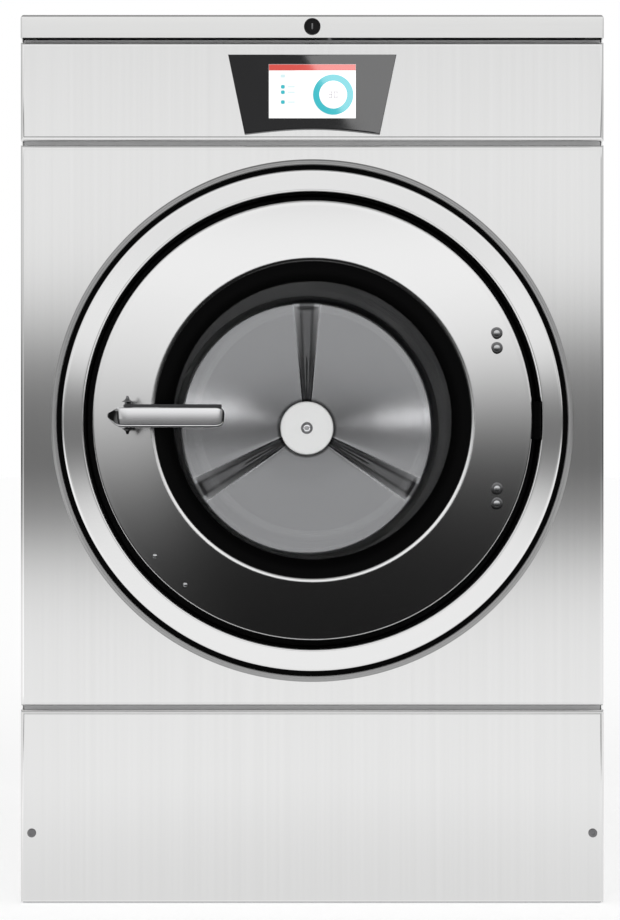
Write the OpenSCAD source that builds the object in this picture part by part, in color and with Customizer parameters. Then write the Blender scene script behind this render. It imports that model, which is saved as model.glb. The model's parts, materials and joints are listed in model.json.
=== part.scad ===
// Front-loading laundry washing machine with a floating tub.
// Millimetres, +Z up, the machine's front faces -Y.
// The origin is on the floor, under the middle of the whole machine.

/* [Cabinet] */
// Width over both side panels
cabinet_w = 795; // [760:5:840]
// Clear space between the drum shaft's end and the rear sheet
rear_room = 22; // [12:1:60]
// Thickness of every cabinet sheet
sheet_t = 2; // [1.5:0.1:2.5]
// Gap between a front sheet and a side panel
side_seam = 1.2; // [0.8:0.1:2]
// Depth of the folded edges of the front sheets
fold_d = 14; // [10:1:18]
// Side of the square corner posts and rails
post_w = 26; // [20:1:30]

/* [Front sheets] */
// Clearance under the lower sheet
floor_gap = 3; // [1:0.5:6]
// Height of the lower sheet
lower_panel_h = 262; // [250:1:290]
// Height of the main sheet with the round opening
front_panel_h = 764; // [750:1:800]
// Height of the control fascia
fascia_h = 134; // [126:1:160]
// Height of the top cover's front strip
top_cover_h = 32; // [31:1:44]
// Dark gap between the front sheets
panel_gap = 6; // [3:0.5:8]
// Height of the door's centre above the middle of the main sheet
door_rise = 6.5; // [0:0.5:12]
// Radius of the lower sheet's screws
panel_screw_r = 6; // [4:0.5:8]
// Distance of those screws from the sheet's side edge
panel_screw_in = 15.5; // [12:0.5:24]
// Height of those screws above the floor
panel_screw_z = 98; // [70:1:200]

/* [Round collar] */
// Radius of the round hole in the main sheet
panel_hole_r = 347; // [345:0.5:349]
// Radius of the rolled bead round that hole
bead_r = 4.5; // [3:0.5:6]
// Outer radius of the bright collar
collar_out_r = 340; // [336:0.5:342]
// Inner radius of the bright collar
collar_in_r = 310; // [309.5:0.5:318]
// How far the collar stands out of the main sheet
collar_proud = 14; // [8:0.5:15]
// How far the collar's face falls back from its inner to its outer corner
collar_lean = 1.8; // [0:0.1:3]
// Thickness of the collar's sheet
collar_t = 2; // [1.5:0.1:3]
// Corner radius of the collar
collar_corner = 3; // [2.5:0.5:7]
// How far the collar's inner wall runs back
collar_back = 12; // [8:1:16]

/* [Door] */
// Outer radius of the door
door_r = 297; // [292:0.5:297.5]
// Radius of the door ring's window
window_r = 219; // [216:0.5:221]
// How far the ring's inner edge stands out of the main sheet
door_proud = 45; // [42:0.5:48]
// Radius of the sphere that the ring's crown follows
dome_r = 950; // [850:10:1200]
// Thickness of the door ring's sheet
ring_t = 2; // [1.5:0.1:2.5]
// Radius of the two rolled edges of the ring
rolled_r = 2.2; // [1.8:0.1:2.6]
// Where the ring's rim ends, behind the main sheet's face
rim_back = 8; // [6:0.5:9]
// Radius of the clear part of the glass
glass_view_r = 188; // [180:0.5:190]
// Thickness of the glass
glass_t = 6; // [5:0.5:8]
// How far the glass bowl reaches behind the main sheet's face
glass_back = 105; // [90:1:112]
// Half thickness of the cast frame inside the door
frame_half = 4; // [3:0.5:5]

/* [Door hinge] */
// Radius of the hinge pin
hinge_pin_r = 3; // [2.5:0.1:3.5]
// Radius of the hinge knuckles
knuckle_r = 6; // [5:0.1:6.2]
// Half height of the middle, fixed knuckle
knuckle_half = 9.5; // [8:0.5:10]
// Height of each of the two door knuckles
door_knuckle_h = 15; // [12:0.5:16]
// Distance from the door's edge to the hinge axis
hinge_gap = 5.5; // [5:0.1:6]
// Distance of the four hinge bolts from the door's centre line
hinge_bolt_x = 247.5; // [245:0.5:256]
// Height of the inner bolt of each pair above or below the centre
hinge_bolt_z = 94.5; // [85:0.5:99]
// Distance between the two bolts of a pair
hinge_bolt_step = 20; // [18:0.5:22]
// Height of the bolts' middle above the door's centre
hinge_bolt_rise = 2.4; // [0:0.1:3]
// Radius of the hinge bolts' heads
hinge_bolt_r = 8; // [6:0.5:9]

/* [Door handle] */
// Distance of the handle's pivot from the door's centre line
handle_x = 246.5; // [245:0.5:254]
// Reach of the lever from its pivot to its tip, over the glass
lever_reach = 129; // [110:1:150]
// Length of the lever's tail on the other side of the pivot
lever_tail = 26; // [24:1:32]
// Height of the lever
lever_h = 33; // [28:0.5:34]
// Height of the lever's middle above the door's centre
lever_rise = 6; // [0:0.1:7]
// Thickness of the lever
lever_t = 20; // [16:0.5:22]
// Radius of the vertical pivot pin
handle_pin_r = 4; // [3:0.1:4.5]
// Clear space between the lever and the door ring's front
lever_lift = 6; // [4:0.5:8]
// Thickness of the latch tongue
tongue_t = 7; // [6:0.5:7.5]

/* [Display] */
// Width of the display's glass along its top
display_top_w = 229; // [215:1:240]
// Width of the display's glass along its bottom
display_bottom_w = 184; // [170:1:200]
// Height of the display's glass
display_h = 108; // [100:1:112]
// Rise of the arch along the glass's bottom edge
display_arch = 7; // [3:0.5:9]
// Thickness of the display's housing
display_t = 5; // [4:0.5:7]
// Width of the lit screen
screen_w = 119; // [105:1:125]
// Height of the lit screen
screen_h = 74; // [64:1:76]
// Radius of the black key lock
lock_r = 11.3; // [10:0.1:12]

/* [Drum and tub] */
// Inner radius of the drum
drum_r = 325; // [318:0.5:328]
// Depth of the drum
drum_len = 540; // [500:1:545]
// Thickness of the drum's sheet
drum_t = 1.5; // [1:0.1:2]
// Radius of the drum's mouth
drum_mouth_r = 200; // [196:0.5:204]
// Radial height of the lifters
lifter_h = 65; // [50:1:80]
// Radius of the flat disc pressed into the drum's back
back_disc_r = 211; // [190:1:225]
// How far that disc is pressed forward
back_press = 15; // [8:1:20]
// Radius of the hub cap in the drum
hub_cap_r = 42.5; // [36:0.5:46]
// Clear space between the drum's wall and the tub's
tub_gap = 18.5; // [15.5:0.5:20.5]
// Thickness of the tub's sheet
tub_t = 3; // [2:0.5:4]
// Radius of the tub's mouth
tub_mouth_r = 206; // [205:0.5:208]
// Depth of the tub's front face behind the main sheet's face
tub_start = 44; // [42:0.5:48]
// Clear space between the tub's front plate and the drum
drum_lead = 27; // [20:1:30]

/* [Drive] */
// Radius of the drum's shaft in its bearings
shaft_r = 25; // [20:0.5:28]
// Length of the bearing housing
housing_len = 114; // [105:1:118]
// Radius of the drum's pulley
pulley_r = 180; // [150:1:190]
// Radius of the motor's pulley
motor_pulley_r = 35; // [28:1:45]
// Width of both pulleys
pulley_w = 40; // [30:1:42]
// Radius of the motor
motor_r = 75; // [65:1:80]
// Length of the motor
motor_len = 200; // [150:5:205]
// Height of the motor's axis below the drum's axis
motor_drop = 455.5; // [450:0.5:460]
// Sideways place of the motor
motor_x = 130; // [110:1:140]

/* [Suspension] */
// Height of the base frame
base_h = 50; // [40:1:56]
// Width of the base frame's side sills
sill_w = 135; // [130:1:140]
// Thickness of the base frame's plate
base_t = 4; // [3:0.5:6]
// Travel of the floating tub, up and down
tub_travel = 8; // [4:0.5:9]
// Height of the cradle's rails above the floor
cradle_z = 240; // [235:1:244]
// Coil radius of the suspension springs, at the wire's middle
spring_r = 32; // [26:1:36]
// Radius of the spring's wire
wire_r = 5; // [3:0.5:6]
// Number of turns of each spring
spring_turns = 6; // [4:1:8]
// Radius of the damper rods
damper_rod_r = 8; // [6:0.5:10]
// Radius of the damper tubes
damper_tube_r = 18; // [16:0.5:22]

/* [Water and power] */
// Radius of the water inlets' threads
inlet_r = 13.2; // [10:0.1:14]
// Length of the water inlets behind the rear sheet
inlet_len = 25; // [20:1:30]
// Outer radius of the drain outlet
drain_r = 37.5; // [30:0.5:38]
// Length of the drain outlet behind the rear sheet
drain_len = 40; // [36:1:60]
// Radius of the bore in the cable gland
gland_r = 10; // [6:0.5:12]
// Radius of the anchor bolt holes in the base
anchor_r = 7; // [5:0.5:9]

/* [Hidden] */

$fn = 96;

// Clearances: a running fit, a soft touch, and the play of a sheet in its place
run_fit = 0.05;
touch = 0.3;
cut = 1;

// Heights of the front sheets, from the floor up
lower_z = floor_gap;
front_z = lower_z + lower_panel_h + panel_gap;
fascia_z = front_z + front_panel_h + panel_gap;
cover_z = fascia_z + fascia_h + panel_gap;
cabinet_top = cover_z + top_cover_h;
door_z = front_z + front_panel_h / 2 + door_rise;
handle_z = door_z + lever_rise;
hinge_z = door_z + hinge_bolt_rise;

// Half widths: of the front sheets, inside the side panels, and of the frame
front_half = cabinet_w / 2;
inner_half = front_half - sheet_t;
sheet_half = inner_half - side_seam;
panel_screw_x = front_half - panel_screw_in;
rail_top = cover_z - touch;
rail_z = rail_top - post_w;

// Depths behind the main sheet's face, along the drum's axis
tub_plate_t = 4;
drum_start = tub_start + tub_plate_t + drum_lead;
drum_end = drum_start + drum_len;
tub_back = drum_end + 25;
tub_back_t = 6;
tub_end = tub_back + tub_back_t;
housing_end = tub_end + housing_len;
pulley_start = housing_end + 12;
shaft_proud = 6;
tub_r = drum_r + drum_t + tub_gap;
tub_out_r = tub_r + tub_t;

// Depth of the cabinet, and the place of its front with the whole machine centred in depth
cabinet_d = pulley_start + pulley_w + shaft_proud + rear_room;
handle_proud = door_proud + lever_lift + lever_t;
front_y = (handle_proud - cabinet_d - drain_len) / 2;

// The hinge axis, and the crown of the door ring at a radius
hinge_x = door_r + hinge_gap;
hinge_s = -18;
function sag(r) = dome_r - sqrt(dome_r * dome_r - r * r);
function crown_s(r) = -door_proud + sag(r) - sag(window_r);

// The handle's pivot and the clear depth of its latch
handle_s = -door_proud - lever_lift - lever_t / 2 + 1;
tongue_end = 16;
frame_front = -frame_half;
landing_s = 20;
landing_in = tub_mouth_r + 2;
landing_out = landing_in + 16;

// The places of the suspension, behind the main sheet's face and from the middle
cradle_x = 300;
spring_s = [170, 500];
damper_s = 335;
cradle_w = 40;
cradle_h = 30;
cradle_s = [130, 560];

// Soap hopper and its mouth in the top cover
hopper_side = 49.3;
hopper_w = 180;
hopper_x = [-sheet_half + hopper_side, -sheet_half + hopper_side + hopper_w];
hopper_s = [150, 400];
hopper_h = 150;
hopper_t = 3;
mouth_margin = 10;
lid_t = 2;
lid_axis_s = hopper_s[1] - 2;
lid_knuckle_r = 3;
lid_pin_r = 1.2;
lid_axis_z = cabinet_top + touch + lid_knuckle_r;

// Top cover's hinge, at the back
cover_axis_s = cabinet_d - 15;
cover_axis_z = cover_z + 19;
cover_pin_r = 4;
cover_lug_x = 300;

// Fill and drain places
fill_x = (hopper_x[0] + hopper_x[1]) / 2;
fill_s = (hopper_s[0] + hopper_s[1]) / 2;
fill_r = 22;
drain_x = -100;
drain_s = 310;
drain_z = 100;
sump_r = 35;
valve_half = 20;
valve_coil_r = 14;
valve_x = [fill_x - 35, fill_x + 35];
valve_z = cover_z - 62;
gland_side = 129.3;
gland_x = sheet_half - gland_side;
gland_z = valve_z;
gland_wall = 4;
gland_len = 54;
// Rim round each water connection where it passes the rear sheet, and how far it stands out
outlet_rim = 4;
rim_proud = 1;

// Moves children into the frame of the drum's axis: local Z runs to the rear
module on_axis() {
    translate([0, front_y, door_z])
        rotate([-90, 0, 0])
            children();
}

// A round body turned about the drum's axis from points of radius and depth
module turned(points) {
    on_axis()
        rotate_extrude($fn = 180)
            polygon(points);
}

// A box given by its lowest and highest corners, the second value a depth from the front
module block(low, high) {
    translate([low[0], front_y + low[1], low[2]])
        cube([high[0] - low[0], high[1] - low[1], high[2] - low[2]]);
}

// A rod along Y at a place, between two depths
module rod_y(x, z, r, s0, s1) {
    translate([x, front_y + s0, z])
        rotate([-90, 0, 0])
            cylinder(r = r, h = s1 - s0);
}

// A rod along Z at a place, between two heights
module rod_z(x, s, r, z0, z1) {
    translate([x, front_y + s, z0])
        cylinder(r = r, h = z1 - z0);
}

// A rod along X at a place, between two sideways places
module rod_x(s, z, r, x0, x1) {
    translate([x0, front_y + s, z])
        rotate([0, 90, 0])
            cylinder(r = r, h = x1 - x0);
}

// Both sides of the machine
module both_sides() {
    children();
    mirror([1, 0, 0])
        children();
}

// A flat front sheet with its four edges folded back
module folded_sheet(z0, z1) {
    difference() {
        block([-front_half, 0, z0], [front_half, fold_d, z1]);
        block([-inner_half, sheet_t, z0 + sheet_t], [inner_half, fold_d + cut, z1 - sheet_t]);
    }
}

// Points of a quarter circle, for rounded corners of a profile
function quarter(cx, cy, r, a0, steps = 4) =
    [for (i = [0 : steps]) [cx + r * cos(a0 + 90 * i / steps), cy + r * sin(a0 + 90 * i / steps)]];

// Same quarter circle, run the other way
function quarter_back(cx, cy, r, a0, steps = 4) =
    [for (i = [0 : steps]) [cx + r * cos(a0 - 90 * i / steps), cy + r * sin(a0 - 90 * i / steps)]];

// Cabinet

// Welded base: two side sills and three cross members, folded channels open to the floor
module base_channel(low, high) {
    difference() {
        block([low[0], low[1], 0], [high[0], high[1], base_h]);
        block([low[0] + base_t, low[1] + base_t, -cut],
              [high[0] - base_t, high[1] - base_t, base_h - base_t]);
    }
}

anchor_x = inner_half - sill_w / 2 + 12;
anchor_s = [90, cabinet_d - 90];
cross_s = [[fold_d, 104], [280, 340], [740, cabinet_d - sheet_t]];

module base_frame() {
    sill_x = inner_half - sill_w;
    color("dimgray")
        difference() {
            union() {
                both_sides()
                    base_channel([sill_x, fold_d], [inner_half, cabinet_d - sheet_t]);
                for (s = cross_s)
                    base_channel([-sill_x - base_t, s[0]], [sill_x + base_t, s[1]]);
            }
            for (s = anchor_s)
                both_sides()
                    rod_z(anchor_x, s, anchor_r, base_h - base_t - cut, base_h + cut);
        }
}

// Four corner posts between the base and the top rails
module corner_posts() {
    color("gainsboro")
        for (s = [fold_d, cabinet_d - sheet_t - post_w])
            both_sides()
                block([sheet_half - post_w, s, base_h], [sheet_half, s + post_w, rail_z]);
}

// Rails between the posts, with the lock's keeper in front and the cover's hinge behind
module cross_rails() {
    span = sheet_half - post_w;
    front = fold_d;
    rear = cabinet_d - sheet_t;
    keeper_x = 22;
    color("gainsboro")
        union() {
            block([-sheet_half, front, rail_z], [sheet_half, front + post_w, rail_top]);
            block([-sheet_half, rear - post_w, rail_z], [sheet_half, rear, rail_top]);
            both_sides()
                block([span, front, rail_z], [sheet_half, rear, rail_top]);
            for (z = [fascia_z - panel_gap / 2, front_z - panel_gap / 2])
                block([-span, front, z - post_w / 2], [span, front + post_w, z + post_w / 2]);
            block([keeper_x, front + 2, rail_top - cut], [keeper_x + 4, front + 16, lock_z + 10]);
            block([keeper_x - 12, front + 2, lock_z + 7], [keeper_x + 4, front + 16, lock_z + 10]);
            both_sides() {
                block([cover_lug_x - 14, cover_axis_s - 6, rail_top - cut],
                      [cover_lug_x - 5, cover_axis_s + 6, cover_axis_z]);
                rod_x(cover_axis_s, cover_axis_z, 6, cover_lug_x - 14, cover_lug_x - 5);
                rod_x(cover_axis_s, cover_axis_z, cover_pin_r, cover_lug_x - 14, cover_lug_x + 8);
            }
        }
}

module side_panel() {
    block([inner_half, fold_d + touch, floor_gap / 3], [front_half, cabinet_d, rail_top]);
    block([sheet_half - fold_d, cabinet_d - sheet_t, base_h],
          [inner_half + cut, cabinet_d, cover_z - panel_gap]);
}

module left_side_panel() {
    color("lightgray")
        mirror([1, 0, 0])
            side_panel();
}

module right_side_panel() {
    color("lightgray")
        side_panel();
}

// Service opening in the rear sheet, over the belt
service_half = sheet_half * 0.61;
service_below = 330;
service_above = 240;
service_z = [door_z - service_below, door_z + service_above];

module rear_panel() {
    half = sheet_half - fold_d - side_seam;
    color("lightgray")
        difference() {
            block([-half, cabinet_d - sheet_t, floor_gap], [half, cabinet_d, cover_z + 8]);
            block([-service_half, cabinet_d - sheet_t - cut, service_z[0]],
                  [service_half, cabinet_d + cut, service_z[1]]);
            rod_y(drain_x, drain_z, drain_r + outlet_rim + touch, cabinet_d - 10, cabinet_d + 10);
            for (x = valve_x)
                rod_y(x, valve_z, inlet_r + outlet_rim + touch, cabinet_d - 10, cabinet_d + 10);
            rod_y(gland_x, gland_z, gland_r + gland_wall + touch, cabinet_d - 10, cabinet_d + 10);
        }
}

// Cover of the service opening, with a field of cooling slots
module rear_service_cover() {
    lap = 16;
    slot_w = service_half * 0.38;
    slot_h = 6;
    slot_rise = 24;
    slot_low = service_z[0] + service_below * 0.12;
    slot_rows = 6;
    color("silver")
        difference() {
            block([-service_half - lap, cabinet_d, service_z[0] - lap],
                  [service_half + lap, cabinet_d + sheet_t, service_z[1] + lap]);
            for (i = [0 : slot_rows - 1])
                for (column = [-1, 0, 1]) {
                    x = column * service_half * 0.62;
                    z = slot_low + i * slot_rise;
                    block([x - slot_w / 2, cabinet_d - cut, z],
                          [x + slot_w / 2, cabinet_d + sheet_t + cut, z + slot_h]);
                }
        }
}

module lower_front_panel() {
    color("whitesmoke")
        difference() {
            folded_sheet(lower_z, lower_z + lower_panel_h);
            both_sides()
                rod_y(panel_screw_x, panel_screw_z, panel_screw_r / 2 + touch, -cut, sheet_t + cut);
        }
}

module lower_panel_screws() {
    color("darkgray")
        both_sides() {
            difference() {
                rod_y(panel_screw_x, panel_screw_z, panel_screw_r, -2.5, 0);
                rod_y(panel_screw_x, panel_screw_z, panel_screw_r * 0.4, -2.5 - cut, -1.2);
            }
            rod_y(panel_screw_x, panel_screw_z, panel_screw_r / 2, -cut, fold_d);
        }
}

// Main sheet, with the round hole and the rolled bead round it
module front_panel() {
    bead_at = panel_hole_r + bead_r;
    color("whitesmoke")
        union() {
            difference() {
                folded_sheet(front_z, front_z + front_panel_h);
                on_axis()
                    translate([0, 0, -cut])
                        cylinder(r = panel_hole_r, h = sheet_t + 2 * cut, $fn = 180);
            }
            turned(concat([[bead_at + bead_r, sheet_t / 2]],
                          [for (a = [0 : 20 : 180]) [bead_at + bead_r * cos(a), -bead_r * sin(a)]],
                          [[bead_at - bead_r, sheet_t / 2]]));
        }
}

// Bright collar: a flat face with rounded corners, a wall inside and a flange behind the sheet
module door_collar() {
    corner_in = collar_corner - collar_t;
    crown = -collar_proud;
    edge = crown + collar_lean;
    color("silver")
        turned(concat(
            [[panel_hole_r + 11, sheet_t], [collar_out_r, sheet_t]],
            quarter_back(collar_out_r - collar_corner, edge + collar_corner, collar_corner, 0),
            quarter_back(collar_in_r + collar_corner, crown + collar_corner, collar_corner, -90),
            [[collar_in_r, collar_back], [collar_in_r + collar_t, collar_back]],
            quarter(collar_in_r + collar_corner, crown + collar_corner, corner_in, 180),
            quarter(collar_out_r - collar_corner, edge + collar_corner, corner_in, 270),
            [[collar_out_r - collar_t, sheet_t + collar_t],
             [panel_hole_r + 11, sheet_t + collar_t]]));
}

// Rubber skirt that closes the gap between the collar and the floating tub
module collar_seal() {
    lip = tub_start - 3;
    color("black")
        turned([[collar_in_r, collar_back], [collar_in_r + 16, collar_back],
                [collar_in_r + 16, collar_back + 6], [collar_in_r + 5, collar_back + 10],
                [collar_in_r + 5, lip], [collar_in_r, lip]]);
}

// Display

screen_z = fascia_z + fascia_h / 2 - 1;
display_z = [fascia_z + fascia_h / 2 + 49 - display_h, fascia_z + fascia_h / 2 + 49];

module control_fascia() {
    color("whitesmoke")
        difference() {
            folded_sheet(fascia_z, fascia_z + fascia_h);
            block([-screen_w * 0.42, -cut, screen_z - screen_h * 0.4],
                  [screen_w * 0.42, sheet_t + cut, screen_z + screen_h * 0.4]);
        }
}

// Outline of the display's glass, narrower below, with an arched lower edge
module display_outline() {
    low = display_z[0];
    high = display_z[1];
    polygon(concat(
        [[-display_top_w / 2, high], [-display_bottom_w / 2, low]],
        [for (i = [1 : 7]) [-display_bottom_w / 2 + display_bottom_w * i / 8,
                            low + display_arch * sin(180 * i / 8)]],
        [[display_bottom_w / 2, low], [display_top_w / 2, high]]));
}

module display_housing() {
    pocket = display_t - 2;
    color("#1a1a1c")
        difference() {
            translate([0, front_y, 0])
                rotate([90, 0, 0])
                    linear_extrude(display_t)
                        display_outline();
            block([-screen_w / 2, -display_t - cut, screen_z - screen_h / 2],
                  [screen_w / 2, pocket - display_t, screen_z + screen_h / 2]);
        }
}

module display_screen() {
    play = 0.2;
    color("white")
        block([-screen_w / 2 + play, -display_t, screen_z - screen_h / 2 + play],
              [screen_w / 2 - play, -2, screen_z + screen_h / 2 - play]);
}

// Board behind the fascia, on four pillars, with its larger components
module control_board() {
    board_t = 2;
    board_s = 22;
    color("darkgreen")
        union() {
            block([-105, board_s, fascia_z + 24], [105, board_s + board_t, fascia_z + fascia_h - 22]);
            for (z = [fascia_z + 34, fascia_z + fascia_h - 32])
                both_sides()
                    rod_y(94, z, 4, sheet_t, board_s);
            block([-80, board_s + board_t, screen_z - 20], [-30, board_s + 22, screen_z + 20]);
            block([-10, board_s + board_t, screen_z - 15], [20, board_s + 14, screen_z + 15]);
            for (x = [40, 58, 76])
                rod_y(x, screen_z + 8, 7, board_s + board_t, board_s + 24);
        }
}

// Top cover, hinged at the back: plate, front strip and side skirts
lid_open = [[hopper_x[0] + mouth_margin, hopper_s[0] + mouth_margin],
            [hopper_x[1] - mouth_margin, hopper_s[1] - 3 * mouth_margin]];
lock_z = cover_z + top_cover_h / 2 - 1;

module top_cover() {
    color("whitesmoke")
        difference() {
            union() {
                block([-front_half, 0, cabinet_top - sheet_t],
                      [front_half, cabinet_d - sheet_t, cabinet_top]);
                block([-front_half, 0, cover_z], [front_half, sheet_t, cabinet_top]);
                both_sides() {
                    block([inner_half, 0, cover_z], [front_half, cover_axis_s, cabinet_top]);
                    difference() {
                        union() {
                            rod_x(cover_axis_s, cover_axis_z, 8, cover_lug_x - 3, cover_lug_x + 3);
                            block([cover_lug_x - 3, cover_axis_s - 8, cover_axis_z],
                                  [cover_lug_x + 3, cover_axis_s + 8, cabinet_top]);
                        }
                        rod_x(cover_axis_s, cover_axis_z, cover_pin_r + run_fit,
                              cover_lug_x - 3 - cut, cover_lug_x + 3 + cut);
                    }
                }
                for (x = hopper_x)
                    lid_knuckle(x, true);
            }
            block([lid_open[0][0], lid_open[0][1], cabinet_top - sheet_t - cut],
                  [lid_open[1][0], lid_open[1][1], cabinet_top + cut]);
            rod_y(0, lock_z, lock_r - 1.8 + run_fit, -cut, sheet_t + cut);
        }
}

// One knuckle of the hopper lid's hinge; the fixed one also carries its pin
module lid_knuckle(x, fixed) {
    inward = x == hopper_x[0] ? 1 : -1;
    a = x + inward * (fixed ? 20 : 32.5);
    b = x + inward * (fixed ? 32 : 48);
    low = min(a, b);
    high = max(a, b);
    if (fixed) {
        rod_x(lid_axis_s, lid_axis_z, lid_knuckle_r, low, high);
        block([low, lid_axis_s - 2, cabinet_top - touch], [high, lid_axis_s + 6, lid_axis_z]);
        rod_x(lid_axis_s, lid_axis_z, lid_pin_r,
              min(x + inward * 24, x + inward * 46), max(x + inward * 24, x + inward * 46));
    } else {
        difference() {
            union() {
                rod_x(lid_axis_s, lid_axis_z, lid_knuckle_r, low, high);
                block([low, lid_axis_s - 6, cabinet_top + touch],
                      [high, lid_axis_s, cabinet_top + touch + lid_t]);
            }
            rod_x(lid_axis_s, lid_axis_z, lid_pin_r + run_fit, low - cut, high + cut);
        }
    }
}

// Hopper lid: a plate on the cover, with a grip bar and two hinge knuckles
module soap_lid() {
    color("whitesmoke")
        union() {
            block([hopper_x[0], hopper_s[0], cabinet_top + touch],
                  [hopper_x[1], lid_axis_s - 5, cabinet_top + touch + lid_t]);
            block([hopper_x[0] + 60, hopper_s[0] + 4, cabinet_top + touch + lid_t - 0.5],
                  [hopper_x[1] - 60, hopper_s[0] + 12, cabinet_top + touch + lid_t + 4]);
            for (x = hopper_x)
                lid_knuckle(x, false);
        }
}

// Key lock: a head in front of the cover's strip, a barrel through it and a cam behind
module key_lock() {
    cam_s = fold_d + 5;
    barrel_r = lock_r - 1.8;
    color("#101010")
        difference() {
            union() {
                rod_y(0, lock_z, lock_r, -3, -0.1);
                rod_y(0, lock_z, barrel_r, -0.2, cam_s);
                block([-5, cam_s - 0.1, lock_z - 13], [5, cam_s + 3, lock_z + 5]);
            }
            block([-0.8, -3 - cut, lock_z - 4], [0.8, -1.5, lock_z + 4]);
        }
}

// Soap hopper with three compartments, hung on the left top rail
module soap_hopper() {
    top = rail_top;
    low = top - hopper_h;
    floor_t = 5 * hopper_t;
    w = (hopper_w - hopper_t) / 3;
    color("ghostwhite")
        difference() {
            union() {
                block([hopper_x[0], hopper_s[0], low], [hopper_x[1], hopper_s[1], top + hopper_t]);
                block([-sheet_half + 4, hopper_s[0] + 20, top],
                      [hopper_x[0] + cut, hopper_s[1] - 20, top + hopper_t]);
                rod_z(fill_x, fill_s, fill_r, fill_top, low + cut);
            }
            for (i = [0 : 2])
                block([hopper_x[0] + hopper_t + i * w, hopper_s[0] + hopper_t, low + floor_t],
                      [hopper_x[0] + (i + 1) * w, hopper_s[1] - hopper_t, top + hopper_t + cut]);
            rod_z(fill_x, fill_s, fill_r - inlet_wall, fill_top - cut, low + floor_t + cut);
        }
}

valve_d = 50;
valve_spout_r = 10;
inlet_wall = 4;
hose_end = cabinet_d - sheet_t - valve_d - 8;

// Two inlet valves on the rear sheet: threaded inlet, flange, body and coil
module water_valves() {
    color("royalblue")
        for (x = valve_x)
            difference() {
                union() {
                    rod_y(x, valve_z, inlet_r, cabinet_d, cabinet_d + rim_proud + inlet_len);
                    rod_y(x, valve_z, inlet_r + outlet_rim, cabinet_d - sheet_t - cut,
                          cabinet_d + rim_proud);
                    block([x - valve_half, cabinet_d - sheet_t - valve_d, valve_z - valve_half],
                          [x + valve_half, cabinet_d - sheet_t, valve_z + valve_half]);
                    rod_z(x, cabinet_d - sheet_t - valve_d / 2, valve_coil_r,
                          valve_z + valve_half - cut, rail_z - touch);
                    rod_y(x, valve_z, valve_spout_r, hose_end, hose_end + valve_half);
                }
                rod_y(x, valve_z, inlet_r - inlet_wall, cabinet_d - sheet_t - valve_d / 4,
                      cabinet_d + rim_proud + inlet_len + cut);
            }
}

// Two stiff hoses from the valves to the hopper
module hopper_hoses() {
    hose_r = valve_spout_r - 1;
    hose_t = 3;
    color("dimgray")
        for (x = valve_x)
            difference() {
                rod_y(x, valve_z, hose_r, hopper_s[1], hose_end);
                rod_y(x, valve_z, hose_r - hose_t, hopper_s[1] - cut, hose_end + cut);
            }
}

// Drain valve on the base, with the outlet pipe to the rear
module drain_valve() {
    body_r = drain_r * 1.23;
    body_top = drain_z + body_r + 24;
    pipe_wall = 4;
    coil_x = [drain_x + body_r * 0.65, drain_x + body_r + 49];
    coil_half = body_r / 2;
    color("#2b2b2e")
        difference() {
            union() {
                rod_z(drain_x, drain_s, body_r, base_h, body_top);
                rod_z(drain_x, drain_s, sump_r, body_top - cut, drain_top);
                rod_y(drain_x, drain_z, drain_r - 1.5, drain_s, cabinet_d);
                rod_y(drain_x, drain_z, drain_r + outlet_rim, cabinet_d - fold_d,
                      cabinet_d + rim_proud);
                rod_y(drain_x, drain_z, drain_r, cabinet_d, cabinet_d + drain_len);
                block([coil_x[0], drain_s - coil_half, drain_z - coil_half + pipe_wall],
                      [coil_x[1], drain_s + coil_half, drain_z + coil_half + pipe_wall]);
            }
            rod_y(drain_x, drain_z, drain_r - pipe_wall, drain_s, cabinet_d + drain_len + cut);
            rod_z(drain_x, drain_s, sump_r - pipe_wall, drain_z, drain_top + cut);
        }
}

// Motor drive electronics on the base's front cross member, with cooling fins behind
module inverter_box() {
    low = [10, 60];
    high = [200, 230];
    box_h = 140;
    fin_pitch = 16;
    fin_t = 4;
    fin_d = 12;
    margin = 10;
    fins = floor((high[0] - low[0] - 2 * margin) / fin_pitch);
    color("slategray")
        union() {
            block([low[0], low[1], base_h], [high[0], high[1], base_h + box_h]);
            for (i = [0 : fins]) {
                x = low[0] + margin + i * fin_pitch;
                block([x, high[1] - cut, base_h + margin],
                      [x + fin_t, high[1] + fin_d, base_h + box_h - margin]);
            }
        }
}

// Mains connection box inside the rear sheet, with the cable gland outside
module terminal_box() {
    box_d = 80;
    box_half = 60;
    box_below = 70;
    gland_end = cabinet_d + 24;
    nut_t = 10;
    color("dimgray")
        difference() {
            union() {
                block([gland_x - box_half, cabinet_d - sheet_t - box_d, gland_z - box_below],
                      [gland_x + box_half, cabinet_d - sheet_t, rail_z - touch]);
                rod_y(gland_x, gland_z, gland_r + gland_wall, cabinet_d - sheet_t - cut, gland_end);
                rod_y(gland_x, gland_z, gland_r + 2 * gland_wall, cabinet_d, cabinet_d + nut_t);
            }
            rod_y(gland_x, gland_z, gland_r, gland_end - gland_len, gland_end + cut);
        }
}

// Damper tubes on the base's sills
module damper_tubes() {
    color("dimgray")
        both_sides()
            difference() {
                rod_z(cradle_x, damper_s, damper_tube_r, base_h, base_h + 118);
                rod_z(cradle_x, damper_s, damper_rod_r + run_fit, base_h + 8, base_h + 118 + cut);
            }
}

// Floating tub

seal_r = 56;
bearing_r = [55, 50];
bearing_front = [tub_end + 14, tub_end + 41];
bearing_back = [housing_end - 30, housing_end - 5];
shaft_step = 5;
hopper_neck = 12;
fill_top = rail_top - hopper_h - hopper_neck;
fill_len = 40;
drain_top = cradle_z - 50;
drain_len_up = 60;

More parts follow.
